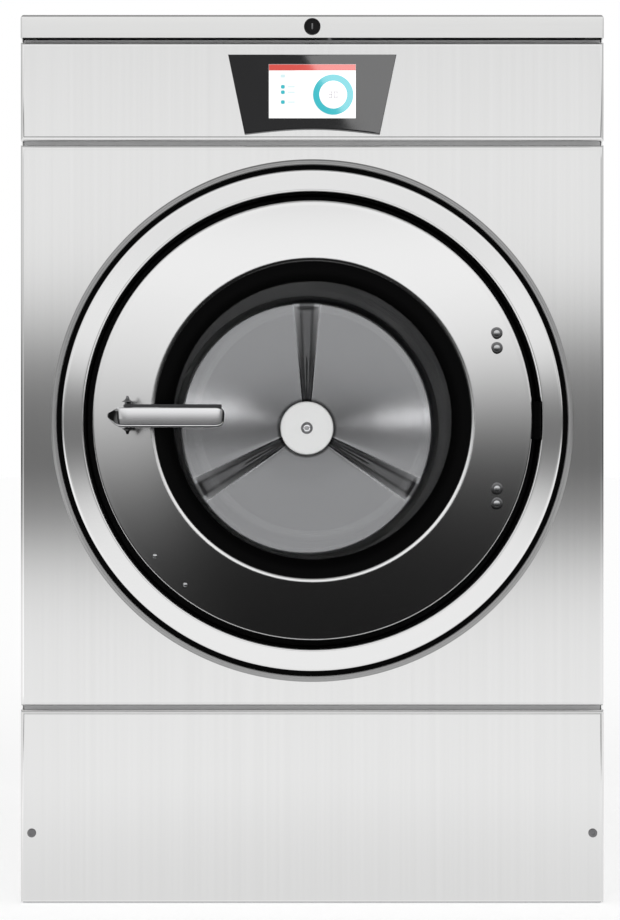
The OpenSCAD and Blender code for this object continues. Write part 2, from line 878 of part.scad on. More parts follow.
module outer_tub() {
    shell_s = tub_start + tub_plate_t;
    color("silver")
        difference() {
            union() {
                on_axis()
                    translate([0, 0, shell_s])
                        cylinder(r = tub_out_r, h = tub_end - shell_s, $fn = 180);
                rod_z(fill_x, fill_s, fill_r, door_z, fill_top - fill_len);
                rod_z(drain_x, drain_s, sump_r, drain_top + drain_len_up, door_z);
            }
            on_axis()
                translate([0, 0, shell_s - cut])
                    cylinder(r = tub_r, h = tub_back - shell_s + cut, $fn = 180);
            on_axis()
                translate([0, 0, tub_back - cut])
                    cylinder(r = seal_r, h = tub_back_t + 2 * cut);
            rod_z(fill_x, fill_s, fill_r - 4, door_z, fill_top - fill_len + cut);
            rod_z(drain_x, drain_s, sump_r - 4, drain_top + drain_len_up - cut, door_z);
        }
}

module tub_front_plate() {
    lip_t = 3;
    end = tub_start + tub_plate_t;
    color("silver")
        turned([[tub_mouth_r, tub_start], [tub_out_r + 8, tub_start], [tub_out_r + 8, end],
                [tub_mouth_r + lip_t, end], [tub_mouth_r + lip_t, end + 10],
                [tub_mouth_r, end + 10]]);
}

// Rubber seal on the tub's mouth, just behind the door's landing ring
module tub_door_seal() {
    nose = landing_s + touch;
    color("#202020")
        turned([[tub_mouth_r, tub_start], [tub_mouth_r + 20, tub_start],
                [tub_mouth_r + 20, tub_start - 8], [landing_out - 1, nose],
                [landing_in + 2, nose], [tub_mouth_r, nose + 10]]);
}

// Cradle under the tub: rails on the springs, cross bars, saddles and the motor's bracket
module tub_cradle() {
    saddle_t = 8;
    saddle_x = [200, cradle_x + cradle_w / 2];
    bar_h = 22;
    motor_top = door_z - motor_drop + motor_r;
    foot_t = 6;
    color("#5c6166")
        union() {
            both_sides()
                block([cradle_x - cradle_w / 2, cradle_s[0], cradle_z],
                      [cradle_x + cradle_w / 2, cradle_s[1], cradle_z + cradle_h]);
            for (s = [cradle_s[0], cradle_s[1] - 40])
                block([-cradle_x, s, cradle_z], [cradle_x, s + 20, cradle_z + bar_h]);
            difference() {
                union() {
                    for (s = [cradle_s[0] + 20, cradle_s[1] - 48])
                        both_sides()
                            block([saddle_x[0], s, cradle_z],
                                  [saddle_x[1], s + saddle_t, door_z - tub_out_r * 0.4]);
                    for (s = [motor_s[0] + 15, motor_s[0] + 55])
                        block([motor_x - 40, s, motor_top + foot_t / 2],
                              [motor_x + 40, s + saddle_t, door_z - tub_out_r * 0.85]);
                }
                on_axis()
                    cylinder(r = tub_out_r, h = tub_end, $fn = 180);
            }
            block([motor_x - 70, motor_s[0] + 5, motor_top],
                  [motor_x + 70, motor_s[0] + 95, motor_top + foot_t]);
        }
}

// Cast housing of the drum's two bearings, with four stiffening ribs
module bearing_housing() {
    neck = shaft_r + 12;
    rib_t = 10;
    color("slategray")
        union() {
            turned([[seal_r, tub_end], [seal_r, tub_end + 12], [bearing_r[0], tub_end + 12],
                    [bearing_r[0], bearing_front[1]], [neck, bearing_front[1]],
                    [neck, bearing_back[0]], [bearing_r[1], bearing_back[0]],
                    [bearing_r[1], housing_end], [70, housing_end], [90, tub_end + 40],
                    [90, tub_end + 10], [145, tub_end + 10], [145, tub_end]]);
            on_axis()
                for (a = [45 : 90 : 315])
                    rotate([0, 0, a])
                        translate([0, rib_t / 2, 0])
                            rotate([90, 0, 0])
                                linear_extrude(rib_t)
                                    polygon([[85, tub_end + 9], [140, tub_end + 9],
                                             [85, tub_end + 70]]);
        }
}

// A ball bearing as one ring with a groove in each face
module bearing(r, place) {
    a = shaft_r + (r - shaft_r) / 3;
    b = r - (r - shaft_r) / 3;
    turned([[shaft_r + run_fit, place[0]], [a, place[0]], [a, place[0] + 3], [b, place[0] + 3],
            [b, place[0]], [r, place[0]], [r, place[1]], [b, place[1]], [b, place[1] - 3],
            [a, place[1] - 3], [a, place[1]], [shaft_r + run_fit, place[1]]]);
}

module front_bearing() {
    color("silver")
        bearing(bearing_r[0], bearing_front);
}

module rear_bearing() {
    color("silver")
        bearing(bearing_r[1], bearing_back);
}

module shaft_seal() {
    inner = shaft_r + shaft_step + run_fit;
    color("#202020")
        turned([[inner, tub_back], [seal_r, tub_back], [seal_r, tub_end + 10],
                [seal_r - 6, tub_end + 10], [seal_r - 6, tub_end], [inner + 6, tub_end],
                [inner + 6, tub_end + 10], [inner, tub_end + 10]]);
}

// Fixed half of the door's hinge, on the tub's front plate
module hinge_bracket() {
    foot_s = tub_start - 8;
    color("#2b2b2e")
        difference() {
            union() {
                rod_z(hinge_x, hinge_s, knuckle_r, door_z - knuckle_half, door_z + knuckle_half);
                block([hinge_x - knuckle_r, hinge_s, door_z - knuckle_half],
                      [hinge_x + knuckle_r, foot_s + cut, door_z + knuckle_half]);
                block([hinge_x - 42, foot_s, door_z - 28],
                      [hinge_x + 2, tub_start, door_z + 28]);
            }
            rod_z(hinge_x, hinge_s, hinge_pin_r, door_z - knuckle_half - cut,
                  door_z + knuckle_half + cut);
        }
}

knuckle_play = 0.5;

module hinge_pin() {
    half = knuckle_half + knuckle_play + door_knuckle_h + 1;
    color("silver")
        rod_z(hinge_x, hinge_s, hinge_pin_r, door_z - half, door_z + half);
}

// Lock box on the tub's front plate, with a slot for the handle's tongue
module door_lock_box() {
    low = -handle_x - 42;
    high = -handle_x + 18;
    color("#202024")
        difference() {
            block([low, 10, door_z - 32], [high, tub_start, door_z + 32]);
            block([low + 20, 10 - cut, handle_z - 10], [high + cut, 32, handle_z + 10]);
        }
}

motor_s = [housing_end - 15 - motor_len, housing_end - 15];
motor_shaft_r = 12;
motor_bore = 36;

// Motor under the tub: ribbed housing, foot, end cap and connection box
module motor() {
    z = door_z - motor_drop;
    ribs = floor((motor_len - 40) / 12);
    color("#3a4a5a")
        difference() {
            union() {
                rod_y(motor_x, z, motor_r - 7, motor_s[0], motor_s[1]);
                for (i = [0 : ribs])
                    rod_y(motor_x, z, motor_r, motor_s[0] + 20 + i * 12, motor_s[0] + 25 + i * 12);
                block([motor_x - 45, motor_s[0] + 20, z + motor_r - 25],
                      [motor_x + 45, motor_s[1] - 20, z + motor_r]);
                block([motor_x + motor_r - 25, motor_s[0] + 40, z - 30],
                      [motor_x + motor_r + 22, motor_s[0] + 110, z + 25]);
            }
            rod_y(motor_x, z, motor_shaft_r + run_fit, motor_s[1] - motor_bore - touch,
                  motor_s[1] + cut);
        }
}

// Outline of an open belt round both pulleys, at a distance outside them
module belt_outline(off) {
    hull() {
        circle(r = pulley_r + off);
        translate([motor_x, motor_drop])
            circle(r = motor_pulley_r + off);
    }
}

module drive_belt() {
    belt_t = 6;
    color("#151515")
        on_axis()
            translate([0, 0, pulley_start + 4])
                linear_extrude(pulley_w - 8)
                    difference() {
                        belt_outline(touch + belt_t);
                        belt_outline(touch);
                    }
}

module damper_rods() {
    color("silver")
        both_sides()
            rod_z(cradle_x, damper_s, damper_rod_r, base_h + 45, cradle_z);
}

// One coil spring: a round wire with straight ends, in rings of six points
spring_len = cradle_z - base_h;
spring_rings = 8 * spring_turns;
spring_end = 2 * wire_r;
spring_pitch = (spring_len - 2 * spring_end) / spring_turns;

function spring_point(i) =
    i == 0 ? [spring_r, 0, 0]
    : i == spring_rings + 2 ? [spring_r, 0, spring_len]
    : [spring_r * cos(45 * (i - 1)), spring_r * sin(45 * (i - 1)),
       spring_end + spring_pitch * (i - 1) / 8];

function spring_run(i) =
    i == 0 || i == spring_rings + 2 ? [0, 0, 1]
    : let (d = spring_point(i + 1) - spring_point(i - 1)) d / norm(d);

function spring_ring(i) =
    let (run = spring_run(i),
         raw = [cos(45 * max(0, min(i - 1, spring_rings))),
                sin(45 * max(0, min(i - 1, spring_rings))), 0],
         flat = raw - (raw * run) * run,
         side = flat / norm(flat),
         up = cross(run, side))
    [for (j = [0 : 5]) spring_point(i) + wire_r * (cos(60 * j) * side + sin(60 * j) * up)];

module coil_spring() {
    last = spring_rings + 2;
    points = [for (i = [0 : last]) each spring_ring(i)];
    faces = concat(
        [[for (j = [5 : -1 : 0]) j]],
        [for (i = [0 : last - 1]) for (j = [0 : 5])
            [6 * i + j, 6 * i + (j + 1) % 6, 6 * (i + 1) + (j + 1) % 6]],
        [for (i = [0 : last - 1]) for (j = [0 : 5])
            [6 * i + j, 6 * (i + 1) + (j + 1) % 6, 6 * (i + 1) + j]],
        [[for (j = [0 : 5]) 6 * last + j]]);
    polyhedron(points, faces);
}

module suspension_springs() {
    echo(least_gap_between_spring_turns = spring_pitch - 2 * wire_r);
    color("dimgray")
        for (s = spring_s)
            both_sides()
                translate([cradle_x, front_y + s, base_h])
                    coil_spring();
}

// A bellows hose along Z with its bore, between two heights
module bellows(x, s, r, z0, z1, ribs) {
    wall = 3;
    cuff = 6;
    pitch = (z1 - z0 - 2 * cuff) / ribs;
    crest = [for (i = [0 : 2 * ribs])
        [r + (i % 2 == 0 ? 0 : 7), cuff + i * pitch / 2]];
    translate([x, front_y + s, z0])
        rotate_extrude()
            polygon(concat(
                [[r, 0]], crest, [[r, z1 - z0], [r - wall, z1 - z0]],
                [for (i = [2 * ribs : -1 : 0]) [crest[i][0] - wall, crest[i][1]]],
                [[r - wall, 0]]));
}

module drain_bellows() {
    color("#202020")
        bellows(drain_x, drain_s, sump_r, drain_top, drain_top + drain_len_up, 4);
}

module fill_bellows() {
    color("#202020")
        bellows(fill_x, fill_s, fill_r, fill_top - fill_len, fill_top, 3);
}

// Drum

back_t = 3;
lifter_t = 2.5;
disc_s = drum_end - back_press;

module drum_shell() {
    front = drum_start - drum_t;
    color("silver")
        turned([[drum_mouth_r, drum_start], [drum_mouth_r, front - 6],
                [drum_mouth_r + 3, front - 6], [drum_mouth_r + 3, front],
                [drum_r + drum_t, front], [drum_r + drum_t, drum_end + back_t],
                [drum_r, drum_end + back_t], [drum_r, drum_start]]);
}

// Places children at the three arms of the drum, one of them straight up
module three_arms() {
    for (a = [90, 210, 330])
        rotate([0, 0, -a])
            children();
}

// Back of the drum: pressed disc, hub ring and three grooved ribs
module drum_back() {
    rib_h = 5;
    ring_r = hub_cap_r + 6.5;
    slope = back_press * 1.1;
    color("darkgray")
        union() {
            turned([[0, disc_s], [back_disc_r, disc_s], [back_disc_r + slope, drum_end],
                    [drum_r, drum_end], [drum_r, drum_end + back_t],
                    [back_disc_r + slope - back_t / 2, drum_end + back_t],
                    [back_disc_r - back_t / 2, disc_s + back_t], [0, disc_s + back_t]]);
            on_axis()
                translate([0, 0, disc_s - rib_h])
                    cylinder(r = ring_r, h = rib_h + cut);
            on_axis()
                three_arms()
                    translate([0, 0, disc_s - rib_h])
                        linear_extrude(rib_h + cut)
                            difference() {
                                polygon([[ring_r - 8, -9], [back_disc_r - 5, -26],
                                         [back_disc_r - 5, 26], [ring_r - 8, 9]]);
                                polygon([[ring_r + 3, -2.5], [back_disc_r, -10],
                                         [back_disc_r, 10], [ring_r + 3, 2.5]]);
                            }
        }
}

// Outline of one lifter, at a distance inside its skin
module lifter_outline(inset) {
    crest_r = 18;
    foot = 52;
    crest_at = drum_r - lifter_h + crest_r;
    polygon([[drum_r + 5, -foot + inset], [drum_r + 5, foot - inset],
             [crest_at, crest_r - inset], [crest_at, -crest_r + inset]]);
    translate([crest_at, 0])
        circle(r = crest_r - inset);
}

// Three lifters of folded sheet on the drum's wall
module drum_lifters() {
    color("silver")
        on_axis()
            three_arms()
                translate([0, 0, drum_start + 14])
                    linear_extrude(drum_len - 26)
                        intersection() {
                            circle(r = drum_r, $fn = 180);
                            difference() {
                                lifter_outline(0);
                                lifter_outline(lifter_t);
                            }
                        }
}

// Shaft with the three-armed spider that carries the drum
module drum_shaft() {
    hub_r = 100;
    arm_s = drum_end + back_t;
    arm_t = 14;
    color("#8a8d90")
        union() {
            on_axis() {
                translate([0, 0, disc_s + back_t])
                    cylinder(r = hub_r, h = arm_s + arm_t - disc_s - back_t);
                intersection() {
                    three_arms()
                        translate([0, -28, arm_s])
                            cube([drum_r, 56, arm_t]);
                    cylinder(r = drum_r - 3, h = tub_back);
                }
                cylinder_between(shaft_r + shaft_step, arm_s + arm_t - cut, bearing_front[0] - touch);
                cylinder_between(shaft_r, bearing_front[0] - cut,
                                 pulley_start + pulley_w + shaft_proud);
            }
        }
}

// A cylinder between two depths, in the drum axis's own frame
module cylinder_between(r, s0, s1) {
    translate([0, 0, s0])
        cylinder(r = r, h = s1 - s0);
}

// Cap on the drum's hub, with its bolt
module hub_cap() {
    seat = disc_s - 5;
    cap_h = 9;
    edge = 3;
    bolt_r = 10;
    color("white")
        union() {
            turned(concat([[0, seat], [hub_cap_r, seat]],
                          quarter_back(hub_cap_r - edge, seat - cap_h + edge, edge, 0),
                          [[0, seat - cap_h]]));
            turned([[0, seat - cap_h + cut], [bolt_r, seat - cap_h + cut], [bolt_r, seat - cap_h - 3],
                    [bolt_r - 2, seat - cap_h - 5], [4, seat - cap_h - 5], [4, seat - cap_h - 2],
                    [0, seat - cap_h - 2]]);
        }
}

module drum_pulley() {
    hub = shaft_r + 20;
    rim = pulley_r - 18;
    end = pulley_start + pulley_w;
    web = [pulley_start + pulley_w / 2 - 4, pulley_start + pulley_w / 2 + 4];
    hole_r = (rim - hub) * 0.28;
    color("slategray")
        difference() {
            turned([[shaft_r, pulley_start], [hub, pulley_start], [hub, web[0]], [rim, web[0]],
                    [rim, pulley_start], [pulley_r, pulley_start], [pulley_r, end], [rim, end],
                    [rim, web[1]], [hub, web[1]], [hub, end], [shaft_r, end]]);
            on_axis()
                for (a = [0 : 72 : 288])
                    rotate([0, 0, a])
                        translate([(rim + hub) / 2, 0, web[0] - cut])
                            cylinder(r = hole_r, h = web[1] - web[0] + 2 * cut);
        }
}

// Pulley and shaft of the motor, with a flange on each side of the belt
module motor_pulley() {
    z = door_z - motor_drop;
    flange = 3;
    color("slategray")
        union() {
            rod_y(motor_x, z, motor_shaft_r, motor_s[1] - motor_bore, pulley_start + cut);
            rod_y(motor_x, z, motor_pulley_r, pulley_start, pulley_start + pulley_w);
            for (s = [pulley_start, pulley_start + pulley_w - flange])
                rod_y(motor_x, z, motor_pulley_r + 5, s, s + flange);
        }
}

// Door

ring_steps = 10;
bar_front = -22;
bolt_heights = [hinge_bolt_z, hinge_bolt_z + hinge_bolt_step];
rivet_r = 280;
rivet_angles = [220.8, 232.3];
rivet_head_r = 3.5;
bracket_half = 12;
ear_z = lever_h / 2 + 1;
ear_t = 8;
tongue_half = 6;
tongue_out = 4.5;

// Radii of points along the crown, from the window to the outer edge
function crown_radii() =
    [for (i = [0 : ring_steps]) window_r + (door_r - window_r) * i / ring_steps];

// Polished ring: domed crown, rim, inner wall and two rolled edges
module door_ring() {
    wall = frame_front;
    inside = [for (i = [ring_steps : -1 : 0])
        window_r + ring_t + (door_r - window_r - 2 * ring_t) * i / ring_steps];
    color("silver")
        difference() {
            on_axis()
                rotate_extrude($fn = 180) {
                    polygon(concat(
                        [[window_r, wall]],
                        [for (r = crown_radii()) [r, crown_s(r)]],
                        [[door_r, rim_back], [door_r - ring_t, rim_back]],
                        [for (r = inside) [r, crown_s(r) + ring_t]],
                        [[window_r + ring_t, wall]]));
                    for (r = [window_r + rolled_r, door_r - rolled_r])
                        translate([r, crown_s(r) + 0.3])
                            circle(r = rolled_r, $fn = 24);
                }
            block([door_r - 12, hinge_s - 3.5, door_z - 30], [door_r + 8, rim_back + cut, door_z + 30]);
            block([-handle_x - bracket_half - touch, -60, handle_z - ear_z - ear_t - touch],
                  [-handle_x + bracket_half + touch, -20, handle_z + ear_z + ear_t + touch]);
            for (z = bolt_heights)
                for (way = [-1, 1])
                    rod_y(hinge_bolt_x, hinge_z + way * z, hinge_bolt_r + 0.1, -60, -15);
            for (a = rivet_angles)
                rod_y(rivet_r * cos(a), door_z + rivet_r * sin(a), rivet_head_r, -60, -15);
        }
}

// Cast frame inside the door, with the ring that lands on the tub's seal
module door_frame() {
    inner = glass_view_r + 8;
    outer = door_r - ring_t - 0.1;
    color("#77797c")
        difference() {
            turned([[inner, -frame_half], [outer, -frame_half], [outer, frame_half],
                    [landing_out, frame_half], [landing_out, landing_s], [landing_in, landing_s],
                    [landing_in, frame_half], [inner, frame_half]]);
            block([-handle_x - 18, -frame_half - cut, handle_z - tongue_half - 2],
                  [-landing_out, frame_half + cut, handle_z + tongue_half + 2]);
        }
}

flange_s = -16;
flange_r = glass_view_r + 17.8;

// Rubber gasket that grips the glass in the door ring
module glass_gasket() {
    front = crown_s(window_r) + 5;
    slot = [flange_s - 0.2, flange_s + glass_t + 0.2];
    color("#101012")
        turned(concat(
            [[window_r, frame_front], [window_r, front]],
            [for (i = [1 : 6])
                let (f = i / 6)
                [window_r - (window_r - glass_view_r) * f,
                 front - 4 * sin(150 * f) + 16 * f * f * f]],
            [[glass_view_r, slot[0]], [flange_r + 0.2, slot[0]], [flange_r + 0.2, slot[1]],
             [glass_view_r + 6, slot[1]], [glass_view_r + 6, frame_front]]));
}

// Glass bowl: a flange in the gasket, a tapering wall and a flat end
module door_glass() {
    wall_r = glass_view_r - 0.2;
    end_r = wall_r - 10;
    round_r = 24;
    core = end_r - round_r;
    color("#b8c4c8", 0.4)
        turned(concat(
            [[flange_r, flange_s], [flange_r, flange_s + glass_t], [wall_r, flange_s + glass_t]],
            quarter(core, glass_back - round_r, round_r, 0, 6),
            [[0, glass_back], [0, glass_back - glass_t]],
            quarter_back(core, glass_back - round_r, round_r - glass_t, 90, 6),
            [[wall_r - glass_t, flange_s]]));
}

// Moving half of the hinge: a bar behind the ring and two knuckles
module door_hinge_plate() {
    bar_x = [hinge_bolt_x - 16, hinge_bolt_x + 16];
    bar_s = [bar_front, frame_front];
    low = knuckle_half + knuckle_play;
    high = low + door_knuckle_h;
    color("#2b2b2e")
        difference() {
            union() {
                intersection() {
                    block([bar_x[0], bar_s[0], door_z - 130], [bar_x[1], bar_s[1], door_z + 130]);
                    on_axis()
                        cylinder_between(door_r - 6, -60, 60);
                }
                for (way = [-1, 1]) {
                    z0 = door_z + min(way * low, way * high);
                    z1 = door_z + max(way * low, way * high);
                    block([bar_x[1] - 4, hinge_s - 3, z0], [hinge_x, hinge_s + 3, z1]);
                    rod_z(hinge_x, hinge_s, knuckle_r, z0, z1);
                }
            }
            rod_z(hinge_x, hinge_s, hinge_pin_r + run_fit, door_z - high - cut, door_z + high + cut);
        }
}

module hinge_bolts() {
    color("silver")
        for (z = bolt_heights)
            for (way = [-1, 1]) {
                rise = hinge_bolt_rise + way * z;
                face = crown_s(sqrt(hinge_bolt_x * hinge_bolt_x + rise * rise));
                difference() {
                    union() {
                        rod_y(hinge_bolt_x, hinge_z + way * z, hinge_bolt_r, face - 1.5, bar_front);
                        rod_y(hinge_bolt_x, hinge_z + way * z, hinge_bolt_r - 1.5, face - 3,
                              bar_front);
                    }
                    rod_y(hinge_bolt_x, hinge_z + way * z, hinge_bolt_r * 0.4, face - 4, face);
                }
            }
}

module door_rivets() {
    color("silver")
        for (a = rivet_angles)
            rod_y(rivet_r * cos(a), door_z + rivet_r * sin(a), rivet_head_r,
                  crown_s(rivet_r) - 2, frame_front);
}

// Bracket of the handle: two feet on the frame, two ears and the pin between them
module handle_bracket() {
    foot_top = -door_proud + 5;
    color("silver")
        union() {
            for (way = [-1, 1]) {
                in0 = handle_z + min(way * (tongue_half + 2), way * (ear_z + ear_t));
                in1 = handle_z + max(way * (tongue_half + 2), way * (ear_z + ear_t));
                ear0 = handle_z + min(way * ear_z, way * (ear_z + ear_t));
                ear1 = handle_z + max(way * ear_z, way * (ear_z + ear_t));
                block([-handle_x - bracket_half, foot_top, in0],
                      [-handle_x + bracket_half, frame_front, in1]);
                block([-handle_x - 8, handle_s, ear0], [-handle_x + 8, foot_top + cut, ear1]);
                rod_z(-handle_x, handle_s, 8, ear0, ear1);
            }
            rod_z(-handle_x, handle_s, handle_pin_r, handle_z - ear_z - ear_t, handle_z + ear_z + ear_t);
        }
}

// Lever: a long hexagonal bar with a pointed tail and a rounded tip
module door_handle() {
    back = -door_proud - lever_lift;
    half = lever_h / 2;
    left = -handle_x - lever_tail;
    tip = -handle_x + lever_reach;
    nose = half * 0.75;
    bevel = 5;
    color("gainsboro")
        difference() {
            intersection() {
                translate([0, front_y + back, handle_z])
                    rotate([90, 0, 0])
                        linear_extrude(lever_t)
                            union() {
                                polygon([[left, 0], [left + 9, -half * 0.8], [left + 20, -half],
                                         [tip - nose, -nose], [tip - nose, nose],
                                         [left + 20, half], [left + 9, half * 0.8]]);
                                translate([tip - nose, 0])
                                    circle(r = nose);
                            }
                translate([left - cut, front_y + back, handle_z])
                    rotate([90, 0, 90])
                        linear_extrude(tip - left + 2 * cut)
                            polygon([[0, -half - cut], [0, half + cut], [-lever_t + bevel, half + cut],
                                     [-lever_t, half - bevel], [-lever_t, -half + bevel],
                                     [-lever_t + bevel, -half - cut]]);
            }
            rod_z(-handle_x, handle_s, handle_pin_r + run_fit, handle_z - half - cut, handle_z + half + cut);
        }
}

module latch_tongue() {
    color("dimgray")
        block([-handle_x - tongue_out - tongue_t, -door_proud - lever_lift, handle_z - tongue_half],
              [-handle_x - tongue_out, tongue_end, handle_z + tongue_half]);
}

base_frame();
corner_posts();
cross_rails();
left_side_panel();
right_side_panel();
rear_panel();
rear_service_cover();
lower_front_panel();
lower_panel_screws();
front_panel();
door_collar();
collar_seal();
control_fascia();
display_housing();
display_screen();
control_board();
soap_hopper();
water_valves();
hopper_hoses();
drain_valve();
inverter_box();
terminal_box();
damper_tubes();
top_cover();
key_lock();
soap_lid();
outer_tub();
tub_front_plate();
tub_cradle();
bearing_housing();
front_bearing();
rear_bearing();
shaft_seal();
tub_door_seal();
hinge_bracket();
hinge_pin();
door_lock_box();
motor();
drive_belt();
damper_rods();
suspension_springs();
drain_bellows();
fill_bellows();
drum_shell();
drum_back();
drum_lifters();
drum_shaft();
hub_cap();
drum_pulley();
motor_pulley();
door_ring();
door_frame();
glass_gasket();
door_glass();
door_hinge_plate();
hinge_bolts();
door_rivets();
handle_bracket();
door_handle();
latch_tongue();
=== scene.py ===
# %% [markdown]
# # Dressing a laundry washing machine
#
# The machine is a steel cabinet with folded front sheets, a bright round collar, a heavy glass
# door with a lever, and a drum that shows through the glass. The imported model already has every
# part in its place and every hinge. This lesson puts a better surface over the parts that are
# seen, and gives every part a finish. A shape here is always a formula on arrays: a profile that
# is turned about an axis, or a closed outline that is carried through a row of stations.

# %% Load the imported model
import json
import math

import bmesh
import bpy
import numpy as np
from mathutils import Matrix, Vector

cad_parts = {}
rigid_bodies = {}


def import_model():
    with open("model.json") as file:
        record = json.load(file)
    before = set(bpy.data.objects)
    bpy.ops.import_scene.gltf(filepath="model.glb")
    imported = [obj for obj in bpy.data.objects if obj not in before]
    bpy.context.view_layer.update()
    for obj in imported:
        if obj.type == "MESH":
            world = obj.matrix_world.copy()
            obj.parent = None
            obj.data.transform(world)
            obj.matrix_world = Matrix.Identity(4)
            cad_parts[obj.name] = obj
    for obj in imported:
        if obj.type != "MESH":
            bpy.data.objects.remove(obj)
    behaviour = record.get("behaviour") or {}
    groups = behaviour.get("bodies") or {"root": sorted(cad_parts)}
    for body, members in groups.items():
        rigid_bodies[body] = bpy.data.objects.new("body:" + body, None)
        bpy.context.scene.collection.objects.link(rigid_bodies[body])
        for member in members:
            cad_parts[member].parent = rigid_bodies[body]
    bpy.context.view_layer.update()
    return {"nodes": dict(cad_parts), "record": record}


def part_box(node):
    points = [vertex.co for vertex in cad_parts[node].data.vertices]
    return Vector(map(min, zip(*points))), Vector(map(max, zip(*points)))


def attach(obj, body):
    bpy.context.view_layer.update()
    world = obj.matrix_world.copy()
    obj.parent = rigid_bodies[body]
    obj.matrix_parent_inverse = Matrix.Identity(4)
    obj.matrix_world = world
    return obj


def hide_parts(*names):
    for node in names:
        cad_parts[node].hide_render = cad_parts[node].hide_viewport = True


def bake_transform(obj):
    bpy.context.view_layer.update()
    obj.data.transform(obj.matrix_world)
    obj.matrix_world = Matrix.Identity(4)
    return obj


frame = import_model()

SLOT_OF = {part["node"]: part["material_slot"] for part in frame["record"]["subparts"]}

# %% [markdown]
# ## Measures
#
# Lengths are in millimetres while a shape is worked out, because that is how sheet metal is
# thought of. A point is (x, depth, height): depth runs from the front sheets to the rear. The
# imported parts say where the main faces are, so a change of the parts moves the pieces with them.

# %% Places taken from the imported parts
MM = 0.001


def box_mm(node):
    """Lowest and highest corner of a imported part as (x, depth, height) in millimetres."""
    low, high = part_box(node)
    shift = np.array([0, front_y, 0])
    return (np.array(low) - shift) / MM, (np.array(high) - shift) / MM


front_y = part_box("lower_front_panel")[0].y
frame_low, frame_high = box_mm("door_frame")
AXIS = (0.0, float(frame_low[2] + frame_high[2]) / 2)
sheet_low, sheet_high = box_mm("front_panel")
SHEET_HALF = float(sheet_high[0])
SHEET_T = 2.0
FOLD = 14.0
print("front", round(front_y, 4), "axis height", round(AXIS[1], 2), "half width", SHEET_HALF)

# %% [markdown]
# ## Turning formulas into meshes
#
# A piece is an array of points and a list of faces. Quads come from a grid: the point in row i
# and column j is joined to its neighbours, and the last column is joined to the first where the
# shape closes. After that doubled points are merged, so that seams and poles close, and the faces
# are made to point outwards.

# %% Grids, outlines and bodies
def grid_faces(rows, columns, wrap_rows=False, wrap_columns=True, start=0):
    """Quad (i, j) joins the points (i, j), (i+1, j), (i+1, j+1) and (i, j+1) of a grid."""
    i, j = np.meshgrid(
        np.arange(rows if wrap_rows else rows - 1),
        np.arange(columns if wrap_columns else columns - 1),
        indexing="ij",
    )
    below, right = (i + 1) % rows, (j + 1) % columns
    corners = [i * columns + j, below * columns + j, below * columns + right, i * columns + right]
    return (np.stack(corners, -1).reshape(-1, 4) + start).tolist()


def lofted(rows, closed_round=False):
    """Skin through closed outlines: rows is (m, n, 3). Both ends get a cap unless the skin
    closes on itself."""
    rows = np.asarray(rows, float)
    m, n = rows.shape[:2]
    faces = grid_faces(m, n, wrap_rows=closed_round)
    if not closed_round:
        faces += [list(range(n)), list(range((m - 1) * n, m * n))]
    return rows.reshape(-1, 3), faces


def turned(profile, steps=256, centre=AXIS, axis=1):
    """Round body: a profile (r, p) keeps p along the axis (0 across, 1 in depth, 2 upright), and
    r turns to centre + (r cos a, r sin a) in the two others."""
    profile = np.asarray(profile, float)
    a = np.arange(steps) * 2 * np.pi / steps
    r = profile[:, :1]
    order = [centre[0] + r * np.cos(a), centre[1] + r * np.sin(a)]
    order.insert(axis, np.repeat(profile[:, 1:2], steps, 1))
    return np.stack(order, -1).reshape(-1, 3), grid_faces(len(profile), steps, wrap_rows=True)


def joined(*shapes):
    """Several shapes as one: each one's faces are shifted past the points before it."""
    points, faces, count = [], [], 0
    for p, f in shapes:
        points.append(np.asarray(p, float))
        faces += [[k + count for k in face] for face in f]
        count += len(p)
    return np.concatenate(points), faces


def arc(cx, cy, r, start, end, steps=6):
    """Points of an arc, angles in degrees: (cx + r cos a, cy + r sin a)."""
    a = np.radians(np.linspace(start, end, steps + 1))
    return np.stack([cx + r * np.cos(a), cy + r * np.sin(a)], 1)


def chain(*parts):
    """Points and arcs of a profile, one after the other."""
    return np.concatenate([np.atleast_2d(np.asarray(p, float)) for p in parts])


# %% Putting a piece into the scene
PIECES = []


def make_piece(name, shape, body, paint, node=None, crease=32):
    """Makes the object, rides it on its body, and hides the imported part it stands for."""
    points, faces = shape
    mesh = bpy.data.meshes.new(name)
    mesh.from_pydata((np.asarray(points) * MM + [0, front_y, 0]).tolist(), [], faces)
    work = bmesh.new()
    work.from_mesh(mesh)
    bmesh.ops.remove_doubles(work, verts=work.verts, dist=2e-6)
    bmesh.ops.dissolve_degenerate(work, edges=work.edges, dist=1e-7)
    bmesh.ops.recalc_face_normals(work, faces=work.faces)
    work.to_mesh(mesh)
    work.free()
    mesh.polygons.foreach_set("use_smooth", np.ones(len(mesh.polygons), bool))
    mesh.set_sharp_from_angle(angle=math.radians(crease))
    mesh.materials.append(paint)
    piece = bpy.data.objects.new(name, mesh)
    bpy.context.scene.collection.objects.link(piece)
    if body:
        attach(piece, body)
    if node:
        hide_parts(node)
    PIECES.append(piece)
    return piece

# %% [markdown]
# ## Writing finishes as arithmetic
#
# A finish is a small program of shader nodes. A wrapped socket can be added, multiplied or raised
# to a power in Python, and each sign adds one Math node. All other nodes come from one method that
# takes a node's type, its settings and its inputs, so a finish reads like a formula.

# %% Sockets that take arithmetic
def feed(tree, socket, value):
    """Links a wired value to a socket, or sets a plain number or colour on it."""
    if isinstance(value, Wire):
        tree.links.new(value.socket, socket)
    elif value is not None:
        socket.default_value = value


